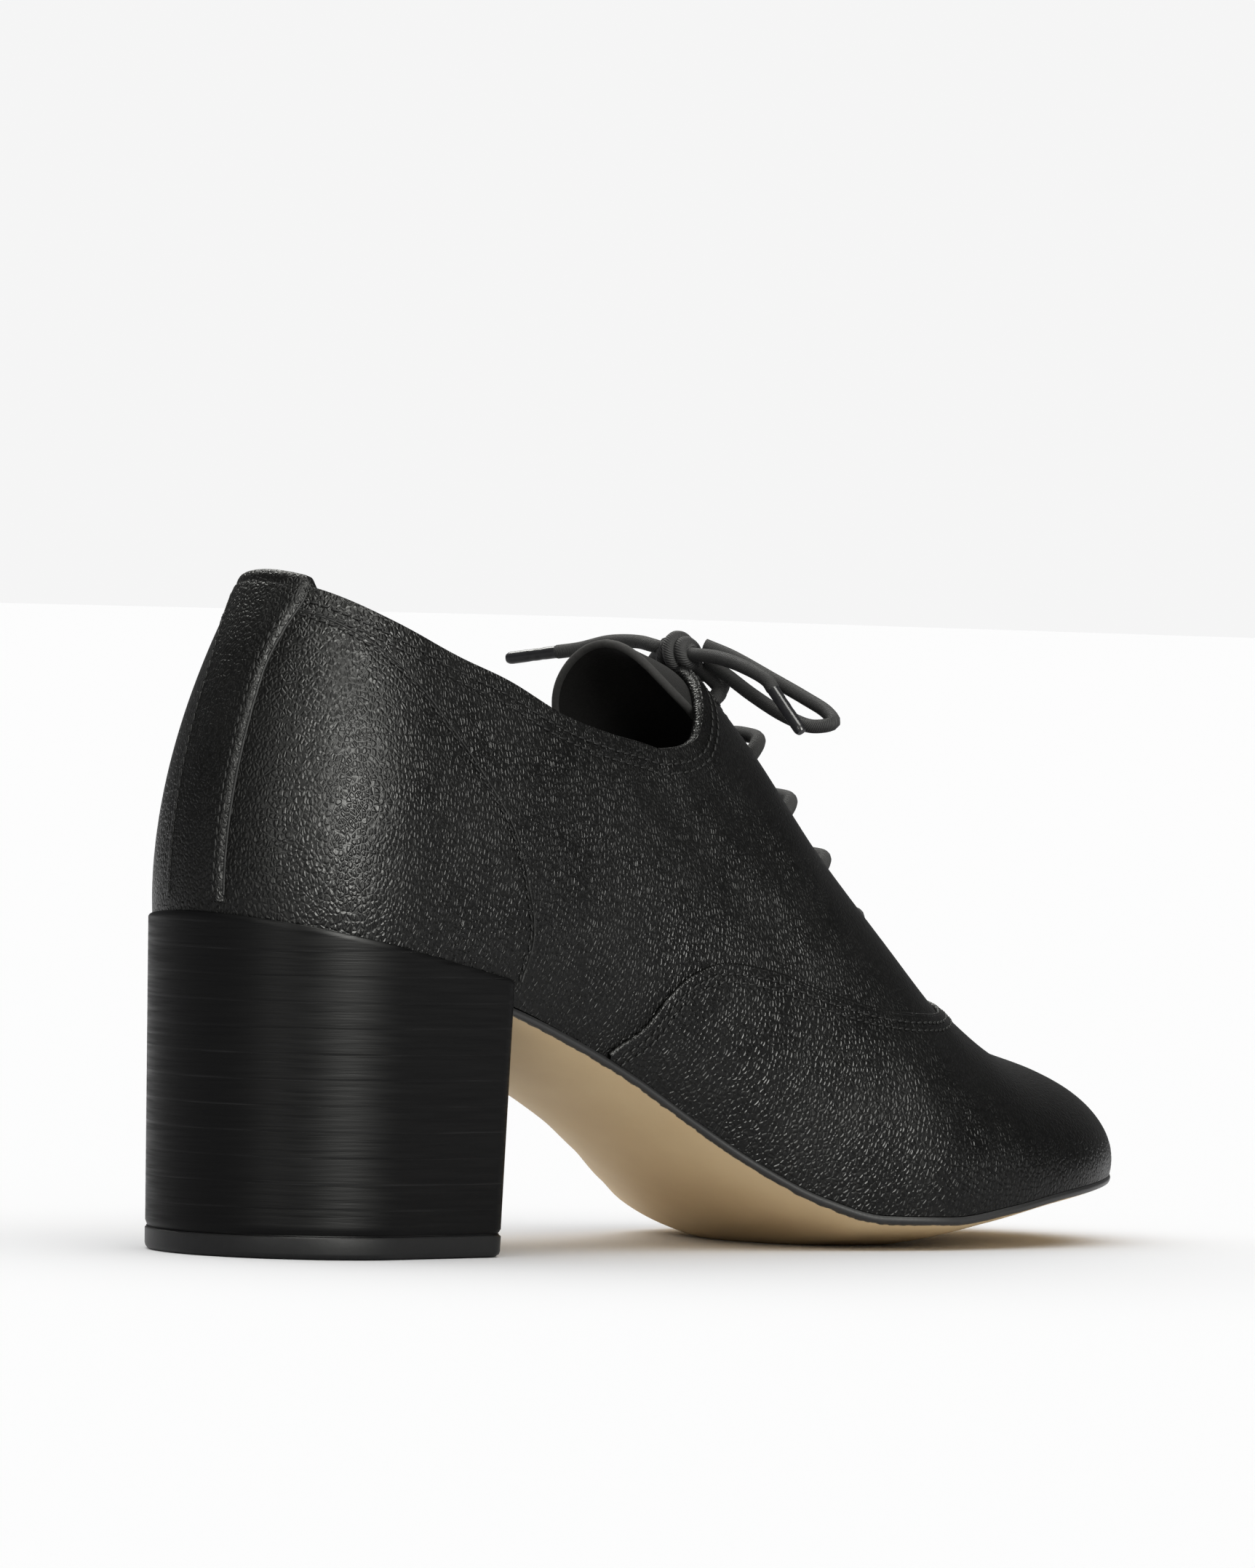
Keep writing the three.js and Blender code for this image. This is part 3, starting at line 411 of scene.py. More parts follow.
# Materials
def newMaterial(name):
    material = bpy.data.materials.new(name)
    material.use_nodes = True
    nodes, links = material.node_tree.nodes, material.node_tree.links
    return material, nodes, links, nodes["Principled BSDF"]


def setNode(nodes, kind, **values):
    node = nodes.new(kind)
    for key, value in values.items():
        if hasattr(node, key):
            setattr(node, key, value)
        else:
            node.inputs[key.replace("_", " ")].default_value = value
    return node


def pebbleGroup():
    group = bpy.data.node_groups.new("pebbledGrain", "ShaderNodeTree")
    for name, kind, value in (
        ("Size", "NodeSocketFloat", 1.0), ("Stretch", "NodeSocketFloat", 1.5), ("Creases", "NodeSocketFloat", 0.3),
    ):
        group.interface.new_socket(name, in_out="INPUT", socket_type=kind).default_value = value
    group.interface.new_socket("Height", in_out="OUTPUT", socket_type="NodeSocketFloat")
    group.interface.new_socket("ValleyShade", in_out="OUTPUT", socket_type="NodeSocketFloat")
    group.interface.new_socket("Patch", in_out="OUTPUT", socket_type="NodeSocketFloat")
    nodes, links = group.nodes, group.links
    start, end = nodes.new("NodeGroupInput"), nodes.new("NodeGroupOutput")
    place = nodes.new("ShaderNodeTexCoord")
    warp = setNode(nodes, "ShaderNodeTexNoise", Scale=420.0, Detail=2.0)
    shift = setNode(nodes, "ShaderNodeVectorMath", operation="MULTIPLY_ADD")
    shift.inputs[1].default_value = (0.0007, 0.0007, 0.0007)
    stretch = setNode(nodes, "ShaderNodeCombineXYZ", X=1.0, Y=1.0)
    squeeze = setNode(nodes, "ShaderNodeMath", operation="DIVIDE")
    squeeze.inputs[0].default_value = 1.0
    scaled = setNode(nodes, "ShaderNodeVectorMath", operation="MULTIPLY")
    size = setNode(nodes, "ShaderNodeMath", operation="DIVIDE")
    size.inputs[0].default_value = 1050.0
    cells = setNode(nodes, "ShaderNodeTexVoronoi", feature="DISTANCE_TO_EDGE")
    fine = setNode(nodes, "ShaderNodeTexNoise", Scale=2600.0, Detail=3.0)
    broad = setNode(nodes, "ShaderNodeTexNoise", Scale=60.0, Detail=3.0)
    links.new(place.outputs["Object"], warp.inputs["Vector"])
    links.new(warp.outputs["Color"], shift.inputs[0])
    links.new(place.outputs["Object"], shift.inputs[2])
    links.new(start.outputs["Stretch"], squeeze.inputs[1])
    links.new(squeeze.outputs[0], stretch.inputs["Z"])
    links.new(shift.outputs[0], scaled.inputs[0])
    links.new(stretch.outputs[0], scaled.inputs[1])
    links.new(scaled.outputs[0], cells.inputs["Vector"])
    links.new(start.outputs["Size"], size.inputs[1])
    links.new(size.outputs[0], cells.inputs["Scale"])
    links.new(place.outputs["Object"], fine.inputs["Vector"])
    links.new(place.outputs["Object"], broad.inputs["Vector"])
    dome = setNode(nodes, "ShaderNodeMapRange", From_Min=0.0, From_Max=0.34, To_Min=0.0, To_Max=1.0)
    dome.interpolation_type = "SMOOTHSTEP"
    links.new(cells.outputs["Distance"], dome.inputs["Value"])
    withFine = setNode(nodes, "ShaderNodeMath", operation="MULTIPLY_ADD")
    withFine.inputs[1].default_value = 0.12
    links.new(fine.outputs["Fac"], withFine.inputs[0])
    links.new(dome.outputs[0], withFine.inputs[2])
    withBroad = setNode(nodes, "ShaderNodeMath", operation="MULTIPLY_ADD")
    links.new(broad.outputs["Fac"], withBroad.inputs[0])
    links.new(start.outputs["Creases"], withBroad.inputs[1])
    links.new(withFine.outputs[0], withBroad.inputs[2])
    links.new(withBroad.outputs[0], end.inputs["Height"])
    # Painted shade: a mask that is 1 in the narrow valleys between pebbles, used to darken the leather's colour there
    valleyShadeMask = setNode(nodes, "ShaderNodeMapRange", From_Min=0.0, From_Max=0.09, To_Min=1.0, To_Max=0.0)
    links.new(cells.outputs["Distance"], valleyShadeMask.inputs["Value"])
    links.new(valleyShadeMask.outputs[0], end.inputs["ValleyShade"])
    links.new(broad.outputs["Fac"], end.inputs["Patch"])
    return group


pebble = pebbleGroup()


def grainLeather(name, colour, valleyShadeColour, roughness, size=1.0, stretch=1.5, depth=0.00014, strength=0.7, coat=0.0, creases=0.6):
    material, nodes, links, shader = newMaterial(name)
    grain = nodes.new("ShaderNodeGroup")
    grain.node_tree = pebble
    grain.inputs["Size"].default_value = size
    grain.inputs["Stretch"].default_value = stretch
    grain.inputs["Creases"].default_value = creases
    bump = setNode(nodes, "ShaderNodeBump", Strength=strength, Distance=depth)
    links.new(grain.outputs["Height"], bump.inputs["Height"])
    links.new(bump.outputs["Normal"], shader.inputs["Normal"])
    # Painted shade: the base colour falls to the second, darker colour in the grain's valleys
    mix = nodes.new("ShaderNodeMix")
    mix.data_type = "RGBA"
    mix.inputs["A"].default_value = (*colour, 1)
    mix.inputs["B"].default_value = (*valleyShadeColour, 1)
    links.new(grain.outputs["ValleyShade"], mix.inputs["Factor"])
    links.new(mix.outputs["Result"], shader.inputs["Base Color"])
    rough = setNode(nodes, "ShaderNodeMapRange", From_Min=0.3, From_Max=0.7, To_Min=roughness - 0.05, To_Max=roughness + 0.08)
    links.new(grain.outputs["Patch"], rough.inputs["Value"])
    links.new(rough.outputs[0], shader.inputs["Roughness"])
    shader.inputs["Specular IOR Level"].default_value = 0.14
    shader.inputs["Coat Weight"].default_value = coat
    shader.inputs["Coat Roughness"].default_value = 0.3
    return material


def noiseMaterial(name, colour, other, roughness, scale, depth, strength=0.4, detail=4.0, sheen=0.0, specular=0.2):
    material, nodes, links, shader = newMaterial(name)
    place = nodes.new("ShaderNodeTexCoord")
    noise = setNode(nodes, "ShaderNodeTexNoise", Scale=scale, Detail=detail)
    links.new(place.outputs["Object"], noise.inputs["Vector"])
    bump = setNode(nodes, "ShaderNodeBump", Strength=strength, Distance=depth)
    links.new(noise.outputs["Fac"], bump.inputs["Height"])
    links.new(bump.outputs["Normal"], shader.inputs["Normal"])
    mix = nodes.new("ShaderNodeMix")
    mix.data_type = "RGBA"
    mix.inputs["A"].default_value = (*colour, 1)
    mix.inputs["B"].default_value = (*other, 1)
    links.new(noise.outputs["Fac"], mix.inputs["Factor"])
    links.new(mix.outputs["Result"], shader.inputs["Base Color"])
    shader.inputs["Roughness"].default_value = roughness
    shader.inputs["Sheen Weight"].default_value = sheen
    shader.inputs["Specular IOR Level"].default_value = specular
    return material


upperLeather = grainLeather("upperLeather", (0.0044, 0.0044, 0.004), (0.002, 0.002, 0.0018), 0.36, size=0.85)
vampLeather = grainLeather(
    "vampLeather", (0.0044, 0.0044, 0.004), (0.002, 0.002, 0.0018), 0.34, size=1.0, stretch=1.2, depth=0.00013)
stripLeather = grainLeather("stripLeather", (0.0042, 0.0042, 0.0039), (0.002, 0.002, 0.0018), 0.38, size=0.85, stretch=1.3)
liningLeather = noiseMaterial("liningLeather", (0.006, 0.0055, 0.005), (0.012, 0.011, 0.0095), 0.6, 900.0, 0.0001)
tongueSuede = noiseMaterial(
    "tongueSuede", (0.012, 0.0115, 0.0105), (0.022, 0.021, 0.0195), 0.95, 2600.0, 0.0002, 0.8, 6.0, 0.03, 0.06)
rawEdge = noiseMaterial("rawEdge", (0.028, 0.027, 0.025), (0.055, 0.053, 0.05), 0.9, 1500.0, 0.0002, 0.6)
# Near-black thread for the stitches; also used for the thin lines of painted shade along the counter's seam and the
# back strip's edges
threadAndShadeBlack = noiseMaterial("threadAndShadeBlack", (0.002, 0.002, 0.002), (0.005, 0.005, 0.0048), 0.6, 3000.0, 0.0001)
liftRubber = noiseMaterial("liftRubber", (0.0085, 0.0085, 0.009), (0.013, 0.013, 0.0135), 0.42, 700.0, 0.00006)
agletPlastic = noiseMaterial("agletPlastic", (0.016, 0.016, 0.018), (0.03, 0.03, 0.032), 0.28, 600.0, 0.00004)


def stackedMaterial():
    material, nodes, links, shader = newMaterial("stackedLeather")
    place = nodes.new("ShaderNodeTexCoord")
    apart = nodes.new("ShaderNodeSeparateXYZ")
    links.new(place.outputs["Object"], apart.inputs[0])
    wander = setNode(nodes, "ShaderNodeTexNoise", Scale=22.0, Detail=2.0)
    links.new(place.outputs["Object"], wander.inputs["Vector"])
    level = setNode(nodes, "ShaderNodeMath", operation="MULTIPLY_ADD")
    level.inputs[1].default_value = 0.0009
    links.new(wander.outputs["Fac"], level.inputs[0])
    links.new(apart.outputs["Z"], level.inputs[2])
    count = setNode(nodes, "ShaderNodeMath", operation="MULTIPLY")
    count.inputs[1].default_value = 1 / 0.00495
    links.new(level.outputs[0], count.inputs[0])
    part = setNode(nodes, "ShaderNodeMath", operation="FRACT")
    links.new(count.outputs[0], part.inputs[0])
    line = setNode(nodes, "ShaderNodeMapRange", From_Min=0.0, From_Max=0.085, To_Min=1.0, To_Max=0.0)
    links.new(part.outputs[0], line.inputs["Value"])
    streaks = setNode(nodes, "ShaderNodeTexNoise", Scale=1.0, Detail=4.0)
    flatten = nodes.new("ShaderNodeMapping")
    flatten.inputs["Scale"].default_value = (60, 60, 1500)
    links.new(place.outputs["Object"], flatten.inputs["Vector"])
    links.new(flatten.outputs[0], streaks.inputs["Vector"])
    gate = setNode(nodes, "ShaderNodeMapRange", From_Min=0.48, From_Max=0.75, To_Min=0.03, To_Max=0.8)
    links.new(streaks.outputs["Fac"], gate.inputs["Value"])
    shown = setNode(nodes, "ShaderNodeMath", operation="MULTIPLY")
    links.new(line.outputs[0], shown.inputs[0])
    links.new(gate.outputs[0], shown.inputs[1])
    mix = nodes.new("ShaderNodeMix")
    mix.data_type = "RGBA"
    mix.inputs["A"].default_value = (0.0035, 0.0035, 0.0037, 1)
    mix.inputs["B"].default_value = (0.026, 0.026, 0.0265, 1)
    links.new(shown.outputs[0], mix.inputs["Factor"])
    links.new(mix.outputs["Result"], shader.inputs["Base Color"])
    height = setNode(nodes, "ShaderNodeMath", operation="MULTIPLY_ADD")
    height.inputs[1].default_value = -0.7
    links.new(line.outputs[0], height.inputs[0])
    links.new(streaks.outputs["Fac"], height.inputs[2])
    bump = setNode(nodes, "ShaderNodeBump", Strength=0.5, Distance=0.00009)
    links.new(height.outputs[0], bump.inputs["Height"])
    links.new(bump.outputs["Normal"], shader.inputs["Normal"])
    shader.inputs["Specular IOR Level"].default_value = 0.08
    rough = setNode(nodes, "ShaderNodeMapRange", From_Min=0.3, From_Max=0.7, To_Min=0.34, To_Max=0.5)
    links.new(streaks.outputs["Fac"], rough.inputs["Value"])
    links.new(rough.outputs[0], shader.inputs["Roughness"])
    return material


def soleMaterial():
    material, nodes, links, shader = newMaterial("soleLeather")
    place = nodes.new("ShaderNodeTexCoord")
    rim = setNode(nodes, "ShaderNodeAttribute", attribute_name="fromEdge")
    ragged = setNode(nodes, "ShaderNodeTexNoise", Scale=420.0, Detail=4.0)
    links.new(place.outputs["Object"], ragged.inputs["Vector"])
    moved = setNode(nodes, "ShaderNodeMath", operation="MULTIPLY_ADD")
    moved.inputs[1].default_value = 1.3
    links.new(ragged.outputs["Fac"], moved.inputs[0])
    links.new(rim.outputs["Fac"], moved.inputs[2])
    dyed = setNode(nodes, "ShaderNodeMapRange", From_Min=1.15, From_Max=1.35, To_Min=1.0, To_Max=0.0)
    links.new(moved.outputs[0], dyed.inputs["Value"])
    cloud = setNode(nodes, "ShaderNodeTexNoise", Scale=55.0, Detail=5.0)
    links.new(place.outputs["Object"], cloud.inputs["Vector"])
    tan = nodes.new("ShaderNodeMix")
    tan.data_type = "RGBA"
    tan.inputs["A"].default_value = (0.64, 0.455, 0.245, 1)
    tan.inputs["B"].default_value = (0.78, 0.60, 0.35, 1)
    links.new(cloud.outputs["Fac"], tan.inputs["Factor"])
    fleck = setNode(nodes, "ShaderNodeTexNoise", Scale=1500.0, Detail=3.0)
    links.new(place.outputs["Object"], fleck.inputs["Vector"])
    speck = nodes.new("ShaderNodeMix")
    speck.data_type = "RGBA"
    speck.blend_type = "MULTIPLY"
    speck.inputs["Factor"].default_value = 0.35
    links.new(tan.outputs["Result"], speck.inputs["A"])
    links.new(fleck.outputs["Color"], speck.inputs["B"])
    whole = nodes.new("ShaderNodeMix")
    whole.data_type = "RGBA"
    links.new(tan.outputs["Result"], whole.inputs["A"])
    whole.inputs["B"].default_value = (0.007, 0.007, 0.0075, 1)
    links.new(dyed.outputs[0], whole.inputs["Factor"])
    links.new(whole.outputs["Result"], shader.inputs["Base Color"])
    bump = setNode(nodes, "ShaderNodeBump", Strength=0.25, Distance=0.0001)
    links.new(fleck.outputs["Fac"], bump.inputs["Height"])
    links.new(bump.outputs["Normal"], shader.inputs["Normal"])
    rough = setNode(nodes, "ShaderNodeMapRange", From_Min=0.0, From_Max=1.0, To_Min=0.55, To_Max=0.4)
    links.new(dyed.outputs[0], rough.inputs["Value"])
    links.new(rough.outputs[0], shader.inputs["Roughness"])
    return material


def laceMaterial():
    material, nodes, links, shader = newMaterial("laceCotton")
    along = nodes.new("ShaderNodeUVMap")
    braid = setNode(nodes, "ShaderNodeTexWave", Scale=1.0, wave_type="BANDS", bands_direction="DIAGONAL", Distortion=1.5)
    turned = nodes.new("ShaderNodeMapping")
    turned.inputs["Scale"].default_value = (6.0, 1.6, 1)
    links.new(along.outputs["UV"], turned.inputs["Vector"])
    links.new(turned.outputs[0], braid.inputs["Vector"])
    place = nodes.new("ShaderNodeTexCoord")
    fuzz = setNode(nodes, "ShaderNodeTexNoise", Scale=2400.0, Detail=4.0)
    links.new(place.outputs["Object"], fuzz.inputs["Vector"])
    height = setNode(nodes, "ShaderNodeMath", operation="MULTIPLY_ADD")
    height.inputs[1].default_value = 0.8
    links.new(fuzz.outputs["Fac"], height.inputs[0])
    links.new(braid.outputs["Fac"], height.inputs[2])
    bump = setNode(nodes, "ShaderNodeBump", Strength=0.6, Distance=0.00018)
    links.new(height.outputs[0], bump.inputs["Height"])
    links.new(bump.outputs["Normal"], shader.inputs["Normal"])
    mix = nodes.new("ShaderNodeMix")
    mix.data_type = "RGBA"
    mix.inputs["A"].default_value = (0.004, 0.0037, 0.004, 1)
    mix.inputs["B"].default_value = (0.011, 0.0105, 0.0108, 1)
    links.new(fuzz.outputs["Fac"], mix.inputs["Factor"])
    links.new(mix.outputs["Result"], shader.inputs["Base Color"])
    shader.inputs["Roughness"].default_value = 0.75
    shader.inputs["Specular IOR Level"].default_value = 0.3
    shader.inputs["Sheen Weight"].default_value = 0.04
    return material


stackedLeather = stackedMaterial()
soleLeather = soleMaterial()
laceCotton = laceMaterial()


def dress(piece, material, slot, *nodes):
    piece.data.materials.clear()
    piece.data.materials.append(material)
    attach(piece, "root")
    if nodes:
        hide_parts(*nodes)
    return piece


print("materials ready")

# Top line and throat
topLine = {"back": 130.5, "dip": 98.4, "facing": 116.4, "gap": 7.0, "throatTop": 93.0, "throatEnd": 157.0}
backRise = through([
    {"at": -0.046, "rise": 1.3}, {"at": 0.061, "rise": 1.0}, {"at": 0.128, "rise": 0.759}, {"at": 0.194, "rise": 0.546},
    {"at": 0.247, "rise": 0.409}, {"at": 0.312, "rise": 0.196}, {"at": 0.368, "rise": 0.085}, {"at": 0.41, "rise": 0.03},
    {"at": 0.425, "rise": 0.0},
], "rise")
facingRise = through([
    {"at": 0.425, "rise": 0.0}, {"at": 0.455, "rise": 0.03}, {"at": 0.478, "rise": 0.12}, {"at": 0.495, "rise": 0.32},
    {"at": 0.515, "rise": 0.66}, {"at": 0.537, "rise": 1.0},
], "rise")
ridgeLine = through([{"x": xAt(row["ridgeAt"]), "z": last["ridge"] * row["height"]} for row in ridgeTable], "z", "x")


def topLineAt(x):
    at = shareAt(x)
    back = topLine["dip"] + (topLine["back"] - topLine["dip"]) * backRise(at)
    front = topLine["dip"] + (topLine["facing"] - topLine["dip"]) * facingRise(at)
    return np.where(at < 0.425, back, front)


def overRidge(x, lift=0.0):
    slope = (ridgeLine(x + 1) - ridgeLine(x - 1)) / 2
    normal = Vector((-float(slope), 0, 1)).normalized()
    return Vector((x, 0, float(ridgeLine(x)))) + normal * lift


throatFront, throatBack = overRidge(topLine["throatEnd"]), overRidge(topLine["throatTop"])
throatLength = (throatBack - throatFront).length
alongThroat = (throatBack - throatFront).normalized()
outOfThroat = Vector((alongThroat.z, 0, -alongThroat.x))
cornerX = float(xAt(0.537))


# Whether a point of the surface is cut away by the collar or the throat
def isCut(points):
    x, y, z = points[..., 0], points[..., 1], points[..., 2]
    along = (x - throatFront.x) * alongThroat.x + (z - throatFront.z) * alongThroat.z
    half = topLine["gap"] / 2
    rounded = np.sqrt(np.clip(half ** 2 - np.clip(half - along, 0, half) ** 2, 0, None))
    slot = (along > 0) & (np.abs(y) < rounded) & (x > 70)
    edge = cornerX + (z - topLine["facing"]) * 0.4
    collar = ((x < cornerX) & (z > topLineAt(x))) | ((x >= cornerX) & (z > topLine["facing"]) & (x < edge))
    return slot | collar


def openTurn(places, side):
    turns = np.linspace(0, 1, 500)
    cut = isCut(surface(places[:, None], side, turns[None, :]))
    first = np.where(cut.any(1), cut.argmax(1), -1)
    low = np.where(first < 0, 1.0, turns[np.clip(first - 1, 0, None)])
    high = np.where(first < 0, 1.0, turns[np.clip(first, 0, None)])
    for _ in range(14):
        middle = (low + high) / 2
        inside = ~isCut(surface(places, side, middle))
        low, high = np.where(inside, middle, low), np.where(inside, high, middle)
    return low


quarter = {
    "rows": np.concatenate([
        np.linspace(0, 1, 26, endpoint=False), np.linspace(1, 2, 190, endpoint=False), np.linspace(2, 3, 22)]),
    "columns": 44,
}


def makeUpper():
    halves, rims = [], []
    for side in (-1, 1):
        ends = openTurn(quarter["rows"], side)
        shares = np.linspace(0, 1, quarter["columns"])
        turns = ends[:, None] * shares[None, :]
        points = lifted(quarter["rows"][:, None], side, turns, 0.0)
        closedRows = ends >= 1.0
        points[closedRows, -1] = surface(quarter["rows"][closedRows], 1, np.ones(closedRows.sum()))
        halves.append(gridPiece("upperHalf", points, flip=side < 0))
        rims.append((quarter["rows"], ends, closedRows))
    upper = joined("upperLeather_shell", halves, weld=4e-5)
    solid = upper.modifiers.new("wall", "SOLIDIFY")
    solid.thickness = wall * mm
    solid.offset = -1
    solid.material_offset = 1
    solid.material_offset_rim = 0
    bpy.context.view_layer.objects.active = upper
    bpy.ops.object.modifier_apply(modifier="wall")
    dress(upper, upperLeather, "upper_leather", "upper")
    upper.data.materials.append(liningLeather)
    finishPiece(upper, angle=50)
    return upper, rims


upperShell, rims = makeUpper()


# The rim from the throat's front end along the lateral side round the back to the medial side
def rimLine(lift, inset=0.0):
    parts = []
    for side, (rows, ends, closedRows) in zip((-1, 1), rims):
        openRows = ~closedRows
        line = lifted(rows[openRows], side, np.clip(ends[openRows], 0, 1), lift)
        parts.append(line[::-1] if side < 0 else line)
    return np.vstack([parts[0], parts[1][1:]])


rim = resample(rimLine(-wall / 2), 0.9)
rim[:, 2] -= 0.75
binding = tubePiece("topLineBinding", rim, 1.2, 14)
dress(binding, stripLeather, "upper_leather")
print("upper ready")

# Stitches: one small shape, repeated along a line
bpy.ops.object.select_all(action="DESELECT")
bpy.ops.mesh.primitive_uv_sphere_add(segments=6, ring_count=5, radius=1)
stitchSeed = bpy.context.object
seedPoints = np.array([tuple(v.co) for v in stitchSeed.data.vertices])
seedFaces = [tuple(p.vertices) for p in stitchSeed.data.polygons]
bpy.data.objects.remove(stitchSeed)
thread = {"length": 1.75, "pitch": 2.2, "radius": 0.27, "slant": 0.16}


def stitchRow(line, normals, pitch=None, length=None):
    pitch = pitch or thread["pitch"]
    length = length or thread["length"]
    run = np.concatenate([[0], np.cumsum(np.linalg.norm(np.diff(line, axis=0), axis=1))])
    shapes = []
    for at in np.arange(pitch / 2, run[-1], pitch):
        spot = np.array([np.interp(at, run, line[:, k]) for k in range(3)])
        ahead = np.array([np.interp(min(at + 0.4, run[-1]), run, line[:, k]) for k in range(3)])
        behind = np.array([np.interp(max(at - 0.4, 0), run, line[:, k]) for k in range(3)])
        normal = np.array([np.interp(at, run, normals[:, k]) for k in range(3)])
        along = ahead - behind
        along /= max(np.linalg.norm(along), 1e-9)
        normal -= along * np.dot(normal, along)
        normal /= max(np.linalg.norm(normal), 1e-9)
        across = np.cross(normal, along)
        along = along + across * thread["slant"]
        body = (
            seedPoints[:, 2:3] * along * length / 2 + seedPoints[:, 0:1] * across * thread["radius"]
            + seedPoints[:, 1:2] * normal * thread["radius"] * 0.8)
        shapes.append(spot + body)
    return shapes


def stitchPiece(name, shapes):
    points = (np.concatenate(shapes) * mm).tolist()
    faces = []
    for i in range(len(shapes)):
        faces += [tuple(v + i * len(seedPoints) for v in face) for face in seedFaces]
    mesh = bpy.data.meshes.new(name)
    mesh.from_pydata(points, [], faces)
    piece = bpy.data.objects.new(name, mesh)
    bpy.context.collection.objects.link(piece)
    outwards(piece)
    finishPiece(piece)
    return dress(piece, threadAndShadeBlack, "upper_leather")


# A line beside another, on the surface, at a distance towards the shoe's body
def beside(line, distance, lift, away=None):
    spots, normals = snapped(line)
    tangent = np.gradient(spots, axis=0)
    tangent /= np.maximum(np.linalg.norm(tangent, axis=1, keepdims=True), 1e-9)
    inward = np.cross(normals, tangent)
    moved = spots + inward * distance
    return snapped(moved, lift)


rimSurface = resample(rimLine(0.0), 1.0)
collarShapes = []
for distance in (3.1, 5.0):
    options = [beside(rimSurface, sign * distance, 0.12) for sign in (-1, 1)]
    low = min(options, key=lambda option: option[0][:, 2].mean())
    collarShapes += stitchRow(*low)
stitchPiece("collarStitches", collarShapes)

# The vamp laps over the quarters
vampLine = through([
    {"at": 0.3, "height": 0.12}, {"at": 0.36, "height": 0.236}, {"at": 0.39, "height": 0.264}, {"at": 0.414, "height": 0.303},
    {"at": 0.437, "height": 0.327}, {"at": 0.473, "height": 0.342},
    {"at": 0.523, "height": 0.333}, {"at": 0.577, "height": 0.309},
    {"at": 0.653, "height": 0.285}, {"at": 0.715, "height": 0.279}, {"at": 0.766, "height": 0.291}, {"at": 0.791, "height": 0.34},
    {"at": 0.803, "height": 0.455},
], "height")


def makeVamp():
    rows = np.concatenate([np.linspace(1.2, 2, 190, endpoint=False), np.linspace(2, 3, 44)])
    halves, edges = [], []
    for side in (-1, 1):
        turns = np.linspace(0, 1, 500)
        points = surface(rows[:, None], side, turns[None, :])
        share = shareAt(points[..., 0])
        over = (points[..., 2] > last["ridge"] * vampLine(share)) & (share < 0.803)
        over |= share < 0.3
        first = np.where(over.any(1), over.argmax(1), -1)
        low = np.where(first < 0, 1.0, turns[np.clip(first - 1, 0, None)])
        high = np.where(first < 0, 1.0, turns[np.clip(first, 0, None)])
        for _ in range(12):
            middle = (low + high) / 2
            spot = surface(rows, side, middle)
            at = shareAt(spot[..., 0])
            above = ((spot[..., 2] > last["ridge"] * vampLine(at)) & (at < 0.803)) | (at < 0.3)
            low, high = np.where(above, low, middle), np.where(above, middle, high)
        used = low > 0.004
        usedRows, low = rows[used], low[used]
        whole = low >= 0.9995
        shares = np.concatenate([np.linspace(0, 1, 46), np.ones(4)])
        drop = np.concatenate([np.full(45, 1.0), [0.94, 0.72, 0.4, 0.05, -0.4]])
        lapTurns = low[:, None] * shares[None, :]
        lifts = np.where(whole[:, None], lap, lap * drop[None, :])
        halves.append(gridPiece("vampHalf", lifted(usedRows[:, None], side, lapTurns, lifts), flip=side < 0))
        edge = surface(usedRows[~whole], side, low[~whole])
        edges.append(edge if side < 0 else edge[::-1])
    vamp = joined("vampLeather_lap", halves, weld=6e-5)
    dress(vamp, vampLeather, "upper_leather")
    finishPiece(vamp, angle=60)
    return vamp, np.vstack(edges)


vamp, vampEdge = makeVamp()
edgeSpots, edgeNormals = snapped(resample(vampEdge, 0.8))
fold = tubePiece("vampFold", edgeSpots + edgeNormals * 0.42, 0.52, 8)
dress(fold, vampLeather, "upper_leather")
vampShapes = []
for distance in (1.7, 3.3):
    options = [beside(edgeSpots, sign * distance, lap + 0.12) for sign in (-1, 1)]
    low = min(options, key=lambda option: option[0][:, 2].mean())
    vampShapes += stitchRow(*low, pitch=1.9, length=1.5)
stitchPiece("vampStitches", vampShapes)

# The counter's seam, from the back of the collar down to the breast of the heel
counterLine = [
    (-20.6, 126.6), (-8.2, 120.6), (3.2, 111.6), (13.6, 100.4), (21.8, 90.2),
    (26.9, 82.8), (31, 71.4), (32.8, 62), (30.8, 53.4),
]
counterShapes = []
for side in (-1, 1):
    line = smoothLine([(x, 0, z) for x, z in counterLine], 1.0)
    spots, normals = snapped(onSide(line[:, [0, 2]], side), 0.12)
    counterShapes += stitchRow(spots, normals, pitch=2.0, length=1.4)
    # A thin bead along the counter's overlapped edge, coloured near-black as painted shade in the seam
    seam = tubePiece("counterSeamShade" + ("Lateral" if side < 0 else "Medial"), beside(spots, 0.85, -0.06)[0], 0.26, 6)
    dress(seam, threadAndShadeBlack, "upper_leather")
stitchPiece("counterStitches", counterShapes)
print("seams ready")

# Back strip, folded over the top line
strip = {"half": 7.6, "flare": 2.4, "thick": 0.95, "foot": 68.0, "tab": 3.0, "fold": 11.0}


